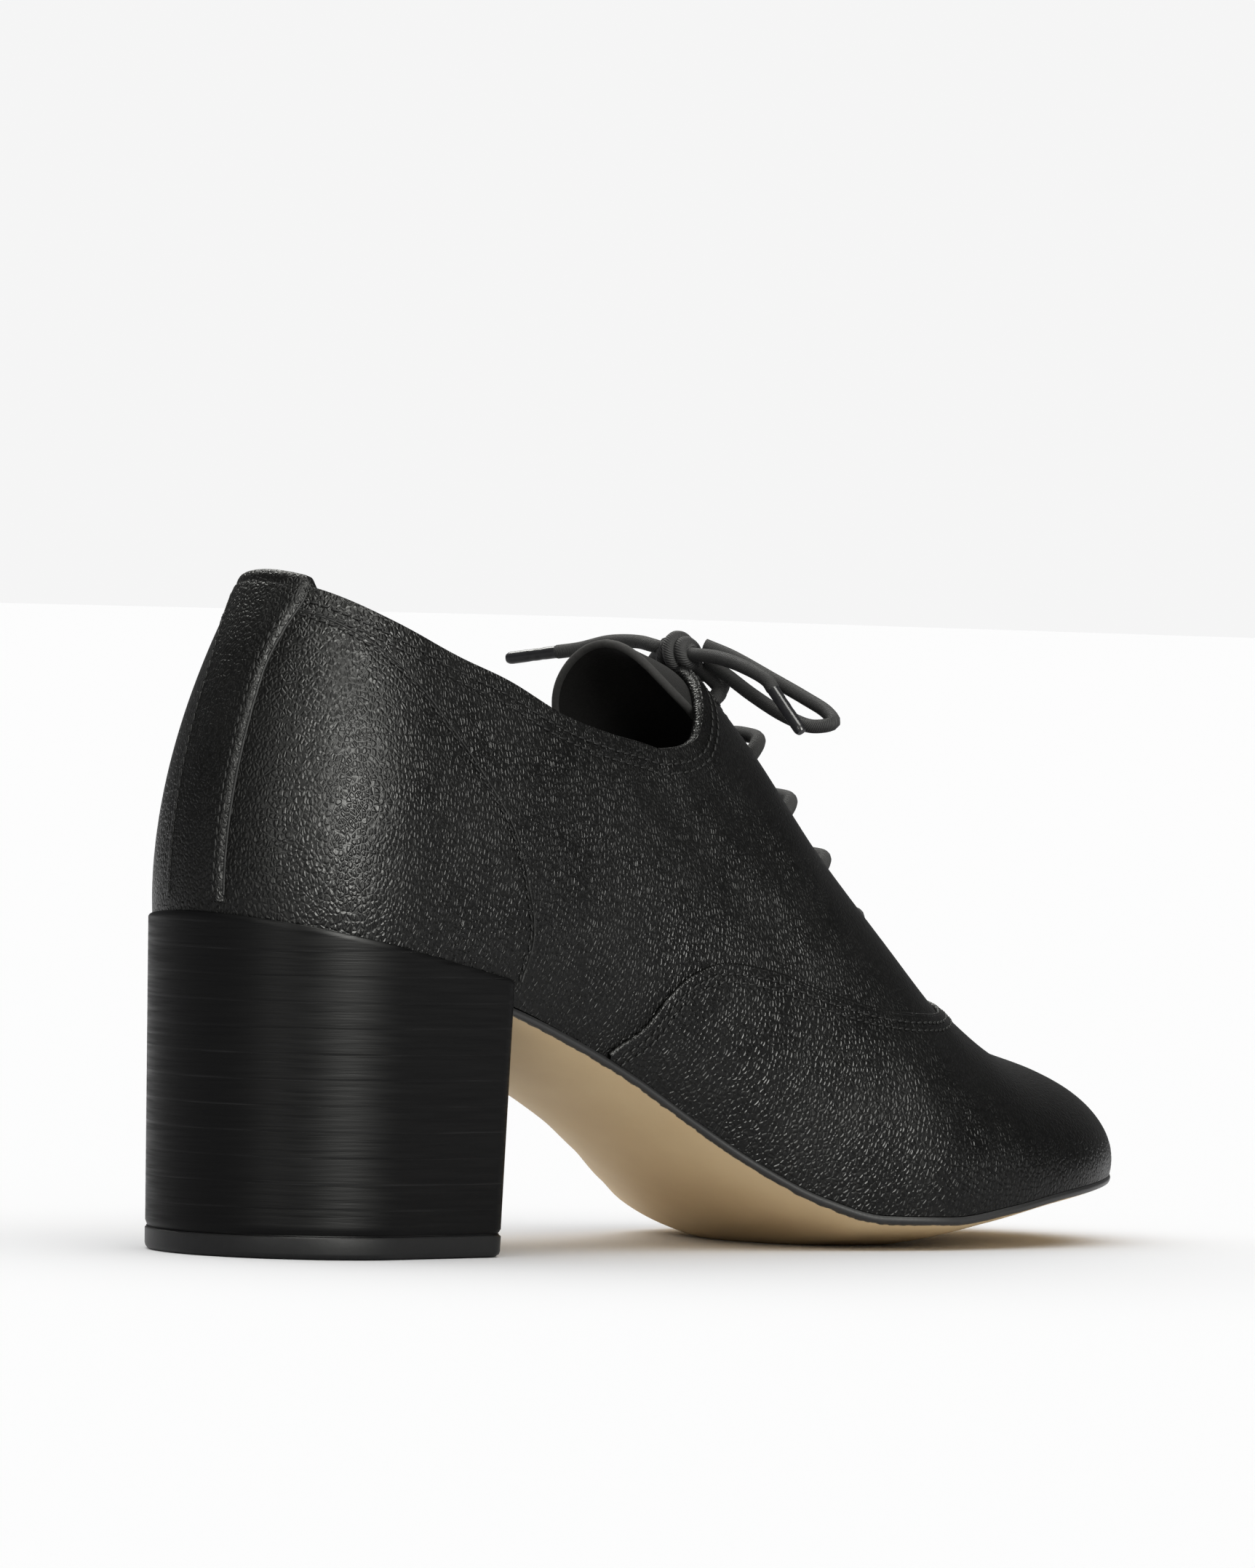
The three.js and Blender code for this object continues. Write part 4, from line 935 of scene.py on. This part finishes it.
def makeStrip():
    columns = np.linspace(-1, 1, 25)
    rimBack = rimLine(-wall / 2)
    backPart = rimBack[rimBack[:, 0] < 10]
    order = np.argsort(backPart[:, 1])
    rimX = lambda y: np.interp(y, backPart[order, 1], backPart[order, 0])
    rimZ = lambda y: np.interp(y, backPart[order, 1], backPart[order, 2])
    heights = np.linspace(0, 1, 90)
    rows = []
    profile = np.clip((1 - np.abs(columns)) / 0.1, 0, 1) ** 0.5
    for h in heights:
        z = strip["foot"] + (topLine["back"] - 2.0 - strip["foot"]) * h
        wide = strip["half"] + strip["flare"] * np.clip((z - 112) / 14, 0, 1) ** 1.5
        row = []
        for c, lift in zip(columns, profile):
            y = c * wide
            top = rimZ(y) - 0.4
            hit, normal, _, _ = treeAtZero.ray_cast(Vector((-120, y, min(z, top))), Vector((1, 0, 0)))
            row.append(tuple(hit + normal * (0.1 + strip["thick"] * lift)))
        rows.append(row)
    wide = strip["half"] + strip["flare"]
    outer = np.array(rows[-1])
    for angle in np.linspace(15, 180, 14):
        row = []
        for k, (c, lift) in enumerate(zip(columns, profile)):
            y = c * wide
            away = np.array((outer[k][0] - rimX(y), outer[k][1] - y, 0.0))
            reach = max(np.linalg.norm(away[:2]), 0.5)
            away = away / reach
            reach = 1.0 + 0.1 + strip["thick"] * lift
            t = math.radians(angle)
            lean = 1.0 * math.sin(t)
            spot = (
                np.array((rimX(y), y, rimZ(y) - 0.6)) + away * reach * math.cos(t)
                + np.array((0, 0, 1)) * (strip["tab"] * math.sin(t) * (0.35 + 0.65 * lift)))
            row.append(tuple(spot + away * 0.2 * lean))
        rows.append(row)
    inner = np.array(rows[-1])
    for down in np.linspace(0.12, 1, 8):
        row = []
        for k, (c, lift) in enumerate(zip(columns, profile)):
            y = c * wide
            z = inner[k][2] - strip["fold"] * down
            hit, normal, _, _ = treeAtZero.ray_cast(Vector((-120, y, z)), Vector((1, 0, 0)))
            row.append(tuple(hit - normal * (wall + 0.1 + strip["thick"] * lift)))
        rows.append(row)
    piece = gridPiece("backStrip", np.array(rows), flip=True)
    dress(piece, stripLeather, "strip_leather", "back_strip")
    finishPiece(piece, angle=70)
    shapes = []
    for c in (-1, 1):
        line = []
        for h in np.linspace(0.02, 1, 60):
            z = strip["foot"] + (topLine["back"] - 3.0 - strip["foot"]) * h
            halfWide = strip["half"] + strip["flare"] * np.clip((z - 112) / 14, 0, 1) ** 1.5 - 1.7
            hit, normal, _, _ = treeAtZero.ray_cast(Vector((-120, c * halfWide, min(z, rimZ(c * halfWide) - 0.6))), Vector((1, 0, 0)))
            line.append(tuple(hit + normal * (strip["thick"] + 0.12)))
        line = resample(line, 0.8)
        shapes += stitchRow(line, snapped(line)[1])
        # A near-black tube along each edge of the strip, as painted shade in the gap between the strip and the leather
        # beneath it
        gap = max((beside(line, sign * 1.75, 0.05)[0] for sign in (-1, 1)), key=lambda spots: spots[5, 1] * c)
        gap = tubePiece("stripGapShade" + ("Lateral" if c < 0 else "Medial"), gap, 0.32, 6)
        dress(gap, threadAndShadeBlack, "strip_leather")
    stitchPiece("stripStitches", shapes)
    return piece


makeStrip()
print("back strip ready")

# Tongue
tongue = {"thick": 1.6, "half": 26.0, "root": 15.6, "top": 121.0, "tuck": 8.0, "round": 0.45, "bend": 19.0, "lean": 14.0}


def onInstep(along, across, lift=0.0):
    base = throatFront + alongThroat * along + Vector((0, across, 0))
    hit, normal, _, _ = treeAtZero.ray_cast(base + outOfThroat * 60, -outOfThroat)
    if hit is None:
        hit, normal, _, _ = treeAtZero.find_nearest(base - outOfThroat * 20)
    return hit + outOfThroat * lift, normal


def smoothStep(value, low, high):
    t = min(max((value - low) / (high - low), 0), 1)
    return t * t * (3 - 2 * t)


def makeTongue():
    reach = (tongue["top"] - throatFront.z) / alongThroat.z
    rows, columns = 90, 40
    freeFrom, freeTo = 0.88 * throatLength, 1.05 * throatLength

    def sheet(depth):
        grid = []
        for i in range(rows + 1):
            left = (1 - i / rows) ** 1.5
            edge = reach * (1 - left) - tongue["tuck"] * left
            straight = tongue["root"] + (tongue["half"] - tongue["root"]) * smoothStep(edge, freeFrom, freeTo)
            end = max(0, (edge - reach + tongue["round"] * tongue["half"]) / (tongue["round"] * tongue["half"]))
            across = straight * math.sqrt(max(0.0, 1 - end ** 2))
            middle = onInstep(edge, 0, -wall - 0.6 - depth)[0]
            height = (middle - throatFront).dot(outOfThroat)
            row = []
            for j in range(columns + 1):
                v = across * (2 * j / columns - 1)
                here, normal = onInstep(edge, v)
                under = here - normal * (wall + 0.6 + depth)
                flat = (
                    throatFront + alongThroat * edge + Vector((0, v, 0))
                    + outOfThroat * (height - v * v / (2 * tongue["bend"])))
                flat.x -= tongue["lean"] * smoothStep(edge, freeFrom, reach)
                row.append(tuple(under.lerp(flat, smoothStep(edge, freeFrom, freeTo))))
            grid.append(row)
        return np.array(grid)

    top, under = sheet(0.0), sheet(tongue["thick"])
    ring = np.concatenate([top, under[:, ::-1], top[:, :1]], 1)
    piece = gridPiece("tongue", ring)
    outwards(piece)
    dress(piece, tongueSuede, "tongue_suede", "tongue")
    finishPiece(piece, angle=45)
    rimPath = np.concatenate([
        (top[:, 0] + under[:, 0]) / 2, ((top[-1] + under[-1]) / 2)[1:-1], ((top[:, -1] + under[:, -1]) / 2)[::-1]])
    edge = tubePiece("tongueEdge", resample(rimPath, 0.8), 0.84, 8)
    dress(edge, rawEdge, "tongue_suede")


makeTongue()
print("tongue ready")

# Bottom: bed, outsole and insole
bottom = {"sag": 2.4, "edge": 1.4, "lip": 0.8, "belly": 4.4, "fit": 0.3, "insole": 2.0}
bellyShare = through([
    {"at": 0.0, "belly": 0.0}, {"at": 0.24, "belly": 0.2}, {"at": 0.32, "belly": 0.5}, {"at": 0.5, "belly": 0.8},
    {"at": 0.62, "belly": 1.0}, {"at": 0.72, "belly": 1.0}, {"at": 0.85, "belly": 0.75}, {"at": 1.0, "belly": 0.4},
], "belly")
lipShare = through([
    {"at": 0.0, "lip": 0}, {"at": 0.24, "lip": 0}, {"at": 0.32, "lip": 1}, {"at": 0.5, "lip": 1},
    {"at": 0.62, "lip": 1}, {"at": 0.72, "lip": 1}, {"at": 0.85, "lip": 1}, {"at": 1.0, "lip": 1},
], "lip")
bottomRows = np.concatenate([
    np.linspace(0, 1, 30, endpoint=False), np.linspace(1, 2, 120, endpoint=False), np.linspace(2, 3, 40)])


def bedHeight(x, across):
    side = 1 if across > 0 else -1
    centre = (featherHeight(x, -1) + featherHeight(x, 1)) / 2
    rimHeight = centre + (featherHeight(x, side) - centre) * abs(across)
    return rimHeight - bottom["sag"] * closing(x) * (1 - across ** 2)


def platePoint(x, across, grow, height):
    side = 1 if across > 0 else -1
    close = float(closing(x))
    stretch = grow(shareAt(x))
    moved = x - (stretch * math.sqrt(max(0, 1 - close ** 2)) if x < 0 else 0)
    if x > toeStart:
        moved += stretch * (x - toeStart) / last["toe"]
    half = max(0.0, float(featherHalf(x, side)) + stretch * close)
    return (moved, across * half, float(height(x, across)))


def plate(name, grow, topHeight, underHeight, bulge):
    ring = [("under", a) for a in np.sin(np.linspace(-1, 1, 49) * math.pi / 2)]
    ring += [("edgeIn", t) for t in (0.25, 0.5, 0.75)]
    ring += [("top", a) for a in np.sin(np.linspace(1, -1, 13) * math.pi / 2)]
    ring += [("edgeOut", t) for t in (0.75, 0.5, 0.25)]
    ring += [("under", -1.0)]
    rows, distances = [], []
    for place in bottomRows:
        x = float(xOf(place))
        row, far = [], []
        for kind, value in ring:
            if kind == "under":
                row.append(platePoint(x, value, grow, underHeight))
                side = 1 if value > 0 else -1
                far.append((1 - abs(value)) * max(float(featherHalf(x, side)), 0.01))
            elif kind == "top":
                row.append(platePoint(x, value, grow, topHeight))
                far.append(-1.0)
            else:
                a = 1.0 if kind == "edgeIn" else -1.0
                low, high = platePoint(x, a, grow, underHeight), platePoint(x, a, grow, topHeight)
                swell = bulge * math.sin(value * math.pi)
                row.append((
                    low[0] + (swell if x > toeStart else 0) * (x - toeStart) / last["toe"],
                    low[1] + a * swell * float(closing(x)),
                    low[2] + (high[2] - low[2]) * value))
                far.append(-1.0)
        rows.append(row)
        distances.append(far)
    piece = gridPiece(name, np.array(rows), weld=False)
    attribute = piece.data.attributes.new("fromEdge", "FLOAT", "POINT")
    toeFar = np.array([(float(xOf(3.0)) - float(xOf(p))) for p in bottomRows])
    distances = np.array(distances)
    distances = np.where(distances < 0, distances, np.minimum(distances, np.where(bottomRows > 2, toeFar, 99)[:, None]))
    attribute.data.foreach_set("value", distances.ravel())
    bpy.context.view_layer.objects.active = piece
    bpy.ops.object.mode_set(mode="EDIT")
    bpy.ops.mesh.select_all(action="SELECT")
    bpy.ops.mesh.remove_doubles(threshold=1e-6)
    bpy.ops.mesh.dissolve_degenerate(threshold=1e-6)
    bpy.ops.object.mode_set(mode="OBJECT")
    outwards(piece)
    finishPiece(piece, angle=55)
    return piece


def makeBottom():
    def soleUnder(x, across):
        belly = bottom["belly"] * float(bellyShare(shareAt(x))) * float(closing(x)) * (1 - across ** 2) ** 0.8
        height = float(bedHeight(x, across)) - bottom["fit"] - bottom["edge"] - belly
        return height if height > 0.6 else max(0.0, 0.6 - (0.6 - height) * 0.999) if height > 0 else 0.0

    sole = plate(
        "outsole", lambda at: bottom["lip"] * float(lipShare(at)),
        lambda x, a: bedHeight(x, a) - bottom["fit"], soleUnder, 0.25)
    dress(sole, soleLeather, "sole_leather", "outsole")
    insole = plate(
        "insole", lambda at: -(wall + 0.3),
        lambda x, a: bedHeight(x, a) + bottom["insole"], lambda x, a: bedHeight(x, a), 0.0)
    dress(insole, liningLeather, "lining", "insole")


makeBottom()
print("sole ready")

# Heel
heel = {"top": 66.0, "slope": 11.9, "width": 60.0, "front": 30.4, "corner": 4.0, "taper": 1.0, "round": 1.2, "lift": 4.4}


def heelTopAt(x):
    return heel["top"] - (x + heel["width"] / 2) * math.tan(math.radians(heel["slope"]))


def heelRing(inset, level, shrink=1.0):
    half, front = heel["width"] / 2 - inset, heel["front"] - inset
    points = [(half * math.cos(a), half * math.sin(a)) for a in np.linspace(math.pi / 2, 3 * math.pi / 2, 73)]
    points += [(x, -half) for x in np.linspace(0, front - heel["corner"], 20)[1:-1]]
    for side in (-1, 1):
        for a in np.linspace(-math.pi / 2 if side < 0 else 0, 0 if side < 0 else math.pi / 2, 9):
            points.append((
                front - heel["corner"] + heel["corner"] * math.cos(a),
                side * (half - heel["corner"]) + heel["corner"] * math.sin(a)))
        if side < 0:
            points += [(front, y) for y in np.linspace(-half + heel["corner"], half - heel["corner"], 30)[1:-1]]
    points += [(x, half) for x in np.linspace(front - heel["corner"], 0, 20)[1:]]
    return [(x * shrink, y * shrink, level(x * shrink, y * shrink)) for x, y in points]


def seatHeight(x, y):
    inside = min(max(x, -last["back"] + 0.5), 40.0)
    side = 1 if y > 0 else -1
    across = min(1.0, abs(y) / max(float(featherHalf(inside, side)), 0.5))
    return float(bedHeight(inside, side * across)) - 2.5


def makeHeel():
    share = lambda z: heel["taper"] * (1 - z / heel["top"])
    low = heel["lift"] + 0.05
    rings = [heelRing(share(low) + 0.25, lambda x, y: low, s) for s in (0.0, 0.5, 0.97)]
    rings.append(heelRing(share(low) + 0.25, lambda x, y: low))
    for f in np.linspace(0, 1, 64):
        edge = 0.35 * max(0, 1 - f / 0.008) ** 2
        rings.append(heelRing(share(heel["top"] * f) + edge, lambda x, y, f=f: low + 0.2 + (heelTopAt(x) - low - 0.5) * f))
    rings.append(heelRing(0.12, lambda x, y: heelTopAt(x) - 0.1))
    rings.append(heelRing(0.4, lambda x, y: heelTopAt(x)))
    rings.append(heelRing(1.6, lambda x, y: min(heelTopAt(x) - 0.1, heelTopAt(x))))
    for s in (0.9, 0.6, 0.3, 0.0):
        rings.append(heelRing(2.0, lambda x, y: min(seatHeight(x, y), heelTopAt(x) - 1.0), s))
    closed = [ring + ring[:1] for ring in rings]
    block = gridPiece("heelStack", np.array(closed))
    outwards(block)
    dress(block, stackedLeather, "heel_leather", "heel_stack")
    finishPiece(block, angle=40)
    rings = [heelRing(heel["taper"] + heel["round"], lambda x, y: 0.0, s) for s in (0.0, 0.6, 1.0)]
    for t in (30, 60, 90):
        a = math.radians(t)
        rings.append(heelRing(
            heel["taper"] + heel["round"] * (1 - math.sin(a)), lambda x, y, a=a: heel["round"] * (1 - math.cos(a))))
    rings.append(heelRing(heel["taper"] * 0.95, lambda x, y: heel["lift"] - 0.3))
    rings.append(heelRing(heel["taper"] * 0.95 + 0.25, lambda x, y: heel["lift"] - 0.05))
    rings += [heelRing(heel["taper"] + 0.3, lambda x, y: heel["lift"] - 0.05, s) for s in (0.5, 0.0)]
    lift = gridPiece("heelLift", np.array([ring + ring[:1] for ring in rings]))
    outwards(lift)
    dress(lift, liftRubber, "lift_rubber", "heel_lift")
    finishPiece(lift, angle=40)


makeHeel()
print("heel ready")

# Lace
lace = {
    "width": 2.8, "barWidth": 3.1, "arch": 2.2, "pairs": 6, "inset": 5.0,
    "knotRadius": 3.4, "agletWidth": 2.5, "agletLength": 10.5,
}


knotPlace = overRidge(topLine["throatTop"] + 5.6, lace["knotRadius"] - 0.6)


def makeBars():
    lying = lace["width"] / 2 + 0.3 + lap / 2
    out = topLine["gap"] / 2 + lace["inset"]
    bars, rings = [], []
    for k in range(lace["pairs"]):
        along = throatLength * (0.045 + 0.79 * k / (lace["pairs"] - 1))
        half = [
            (out, -2.6), (out, 0.5 * lying), (out - 0.5 * lace["width"], lying + lace["arch"]),
            (topLine["gap"] / 2 - 0.5 * lace["width"], lying + 1.3 * lace["arch"]),
        ]
        profile = half + [(-a, b) for a, b in reversed(half)]
        path = smoothLine([tuple(onInstep(along, a, b)[0]) for a, b in profile], 0.5)
        bars.append(tubePiece("laceBar", path, lace["barWidth"] / 2, 14))
        for side in (-1, 1):
            spot, normal = onInstep(along, side * out)
            if abs(spot.x - throatFront.x) < 2:
                spot += normal * 0.8
            a = normal.cross(Vector((0, 1, 0))).normalized()
            b = normal.cross(a)
            circle = [
                tuple(spot + normal * 0.05 + (a * math.cos(t) + b * math.sin(t)) * 1.75)
                for t in np.linspace(0, 2 * math.pi, 20, endpoint=False)]
            rings.append(tubePiece("eyeletRim", np.array(circle), 0.28, 6, closed=True))
    top = throatLength * 0.835
    for side in (-1, 1):
        hole = onInstep(top, side * out)[0]
        ends = (
            hole - outOfThroat * 1.5, hole + outOfThroat * 2.4,
            (hole + outOfThroat * 3.6).lerp(knotPlace, 0.45), knotPlace + Vector((0, side * 2.2, -1.4)))
        bars.append(tubePiece("laceBar", smoothLine([tuple(p) for p in ends], 0.5), lace["width"] / 2, 14))
    for k in range(lace["pairs"] - 1):
        side = 1 if k % 2 else -1
        near, far = (throatLength * (0.045 + 0.79 * (k + t) / (lace["pairs"] - 1)) for t in (0, 1))
        strand = [
            onInstep(near, side * 3.2, 2.4)[0], onInstep(near + 3, side * 2.2, -0.9)[0],
            onInstep(far - 3, -side * 2.2, -0.9)[0], onInstep(far, -side * 3.2, 2.4)[0],
        ]
        bars.append(tubePiece("laceBar", smoothLine([tuple(p) for p in strand], 0.6), lace["width"] / 2, 12))
    bars = joined("laceBars", bars)
    dress(bars, laceCotton, "lace_cotton", "lace_bars")
    dress(joined("eyeletRims", rings), stripLeather, "upper_leather")


makeBars()

lateral, medial, medialBack = (0.3, -0.95), (0.3, 0.95), (-0.25, 0.97)
loopRows = [
    (5.6, 0.2, 1.7), (10.3, 1.6, -0.4), (18, 3.0, -4.6), (25, 3.2, -8.0), (31, 2.4, -10.8), (34.6, 0.2, -12.8),
    (32, -1.8, -13.6), (26.5, -2.2, -11.8), (18, -1.0, -8.0), (10.3, 0.2, -3.9), (5.6, 0.9, -1.6),
]
lateralEndRows = [(5.9, -2.6, -0.2), (13, -4.4, -0.6), (20, -5.6, -2.2), (26, -6.2, -4.8), (28, -6.6, -6.8)]
medialEndRows = [(5.2, -1.5, 1.4), (9, -0.6, 2.0), (16.3, 0.4, 1.8), (23.2, 0.4, 0.2), (28.6, 0.0, -0.6)]


def bowPath(rows, heading):
    front = (abs(heading[1]), abs(heading[0]) * (1 if heading[1] < 0 else -1))
    return [(
        knotPlace.x + heading[0] * out + front[0] * forward,
        knotPlace.y + heading[1] * out - front[1] * forward,
        knotPlace.z + up,
    ) for out, forward, up in rows]


def makeCord(name, rows, heading, fromMiddle, *nodes, aglet=None):
    points = bowPath(rows, heading)
    if fromMiddle:
        away = Vector((heading[0], heading[1], 0))
        points = [tuple(knotPlace - away * 3.2), tuple(knotPlace)] + points
    ending = (Vector(points[-1]) - Vector(points[-2])).normalized()
    line = points + [tuple(Vector(points[-1]) + ending * 5)] if aglet else points
    path = smoothLine(line, 0.7)
    radius = np.full(len(path), lace["width"] / 2)
    if aglet:
        radius[-8:] = 1.1  # pressed together in the tip
    piece = tubePiece(name, path, radius, 14)
    dress(piece, laceCotton, "lace_cotton", *nodes)
    pieces = ["laceKnot"] if name == "laceLoopLateral" else []
    if aglet:
        start = Vector(points[-1]) - ending * 0.4
        steps = np.linspace(0, 1, 22)
        line = [tuple(start + ending * (lace["agletLength"] + 0.6) * t) for t in steps]
        crimps = [0.05 * np.exp(-((steps - place) / 0.05) ** 2) for place in (0.3, 0.5)]
        radius = lace["agletWidth"] / 2 * (1 - crimps[0] - crimps[1])
        radius[0] *= 1.02
        radius[-1] *= 0.72
        radius[-2] *= 0.94
        tip = tubePiece(aglet[0], np.array(line), radius, 18)
        dress(tip, agletPlastic, "aglet_plastic", aglet[1])
        pieces.append(tip)


def makeKnot():
    rings = []
    for shift, radius, lean, tilt in ((-0.4, 3.1, 14, 1.0), (2.3, 2.5, -18, 0.85), (-2.7, 2.4, 22, 0.85)):
        circle = []
        for t in np.linspace(0, 2 * math.pi, 40, endpoint=False):
            y = shift + radius * math.sin(t) * math.sin(math.radians(lean))
            circle.append((knotPlace.x + radius * math.cos(t) * tilt, knotPlace.y + y, knotPlace.z + radius * math.sin(t) * tilt))
        rings.append(tubePiece("knotTurn", np.array(circle), lace["width"] / 2, 12, closed=True))
    core = [tuple(knotPlace + Vector((0, y, 0))) for y in np.linspace(-4.2, 4.2, 9)]
    rings.append(tubePiece("knotCore", np.array(core), [1.6, 2.2, 2.6, 2.8, 2.8, 2.8, 2.6, 2.2, 1.6], 14))
    dress(joined("laceKnot", rings), laceCotton, "lace_cotton", "lace_knot")


makeKnot()
makeCord("laceLoopLateral", loopRows, lateral, False, "lace_loop_lateral")
makeCord("laceLoopMedial", loopRows, medial, False, "lace_loop_medial")
makeCord("laceEndLateral", lateralEndRows, lateral, True, "lace_end_lateral", aglet=("agletLateral", "aglet_lateral"))
makeCord("laceEndMedial", medialEndRows, medialBack, True, "lace_end_medial", aglet=("agletMedial", "aglet_medial"))
print("lace ready")

# Floor and light
studio = {"floor": (0.945, 0.945, 0.945), "backdrop": 0.915, "fill": 0.16, "sun": 2.8}


def makeStudio():
    bpy.ops.object.select_all(action="DESELECT")
    bpy.ops.mesh.primitive_plane_add(size=40, location=(0, 0, 0))
    floor = bpy.context.object
    floor.name = "floor"
    material, nodes, links, shader = newMaterial("paleFloor")
    shader.inputs["Base Color"].default_value = (*studio["floor"], 1)
    shader.inputs["Roughness"].default_value = 0.6
    shader.inputs["Specular IOR Level"].default_value = 0.0
    floor.data.materials.append(material)
    world = bpy.data.worlds.new("studio")
    bpy.context.scene.world = world
    world.use_nodes = True
    nodes, links = world.node_tree.nodes, world.node_tree.links
    background = nodes["Background"]
    path = nodes.new("ShaderNodeLightPath")
    seen = setNode(nodes, "ShaderNodeMapRange", From_Min=0.0, From_Max=1.0, To_Min=studio["fill"], To_Max=studio["backdrop"])
    links.new(path.outputs["Is Camera Ray"], seen.inputs["Value"])
    links.new(seen.outputs[0], background.inputs["Strength"])
    background.inputs["Color"].default_value = (1, 1, 1, 1)
    middle = Vector((0.08, 0, 0.06))
    bpy.ops.object.light_add(type="SUN", location=(0, 0, 3))
    overhead = bpy.context.object
    overhead.name = "overhead"
    overhead.data.energy = studio["sun"]
    overhead.data.angle = math.radians(110)
    overhead.rotation_euler = (math.radians(-8), math.radians(-6), 0)
    overhead.visible_glossy = False
    for name, place, size, power in (
        ("sideSoftbox", (-0.22, -1.95, 0.66), (0.85, 0.7), 125),
        ("leftSoftbox", (-1.7, -0.9, 0.6), (0.4, 0.9), 20),
        ("overSoftbox", (-0.2, -0.9, 1.9), (0.9, 0.6), 60),
        ("backSoftbox", (0.6, 1.2, 1.5), (1.2, 0.5), 40),
    ):
        bpy.ops.object.light_add(type="AREA", location=place)
        light = bpy.context.object
        light.name = name
        light.data.shape = "RECTANGLE"
        light.data.size, light.data.size_y = size
        light.data.energy = power
        light.visible_diffuse = False
        light.data.color = (1, 1, 0.95)
        light.rotation_euler = (middle - Vector(place)).to_track_quat("-Z", "Y").to_euler()


makeStudio()
bpy.context.scene.view_settings.view_transform = "Standard"
print("studio ready")
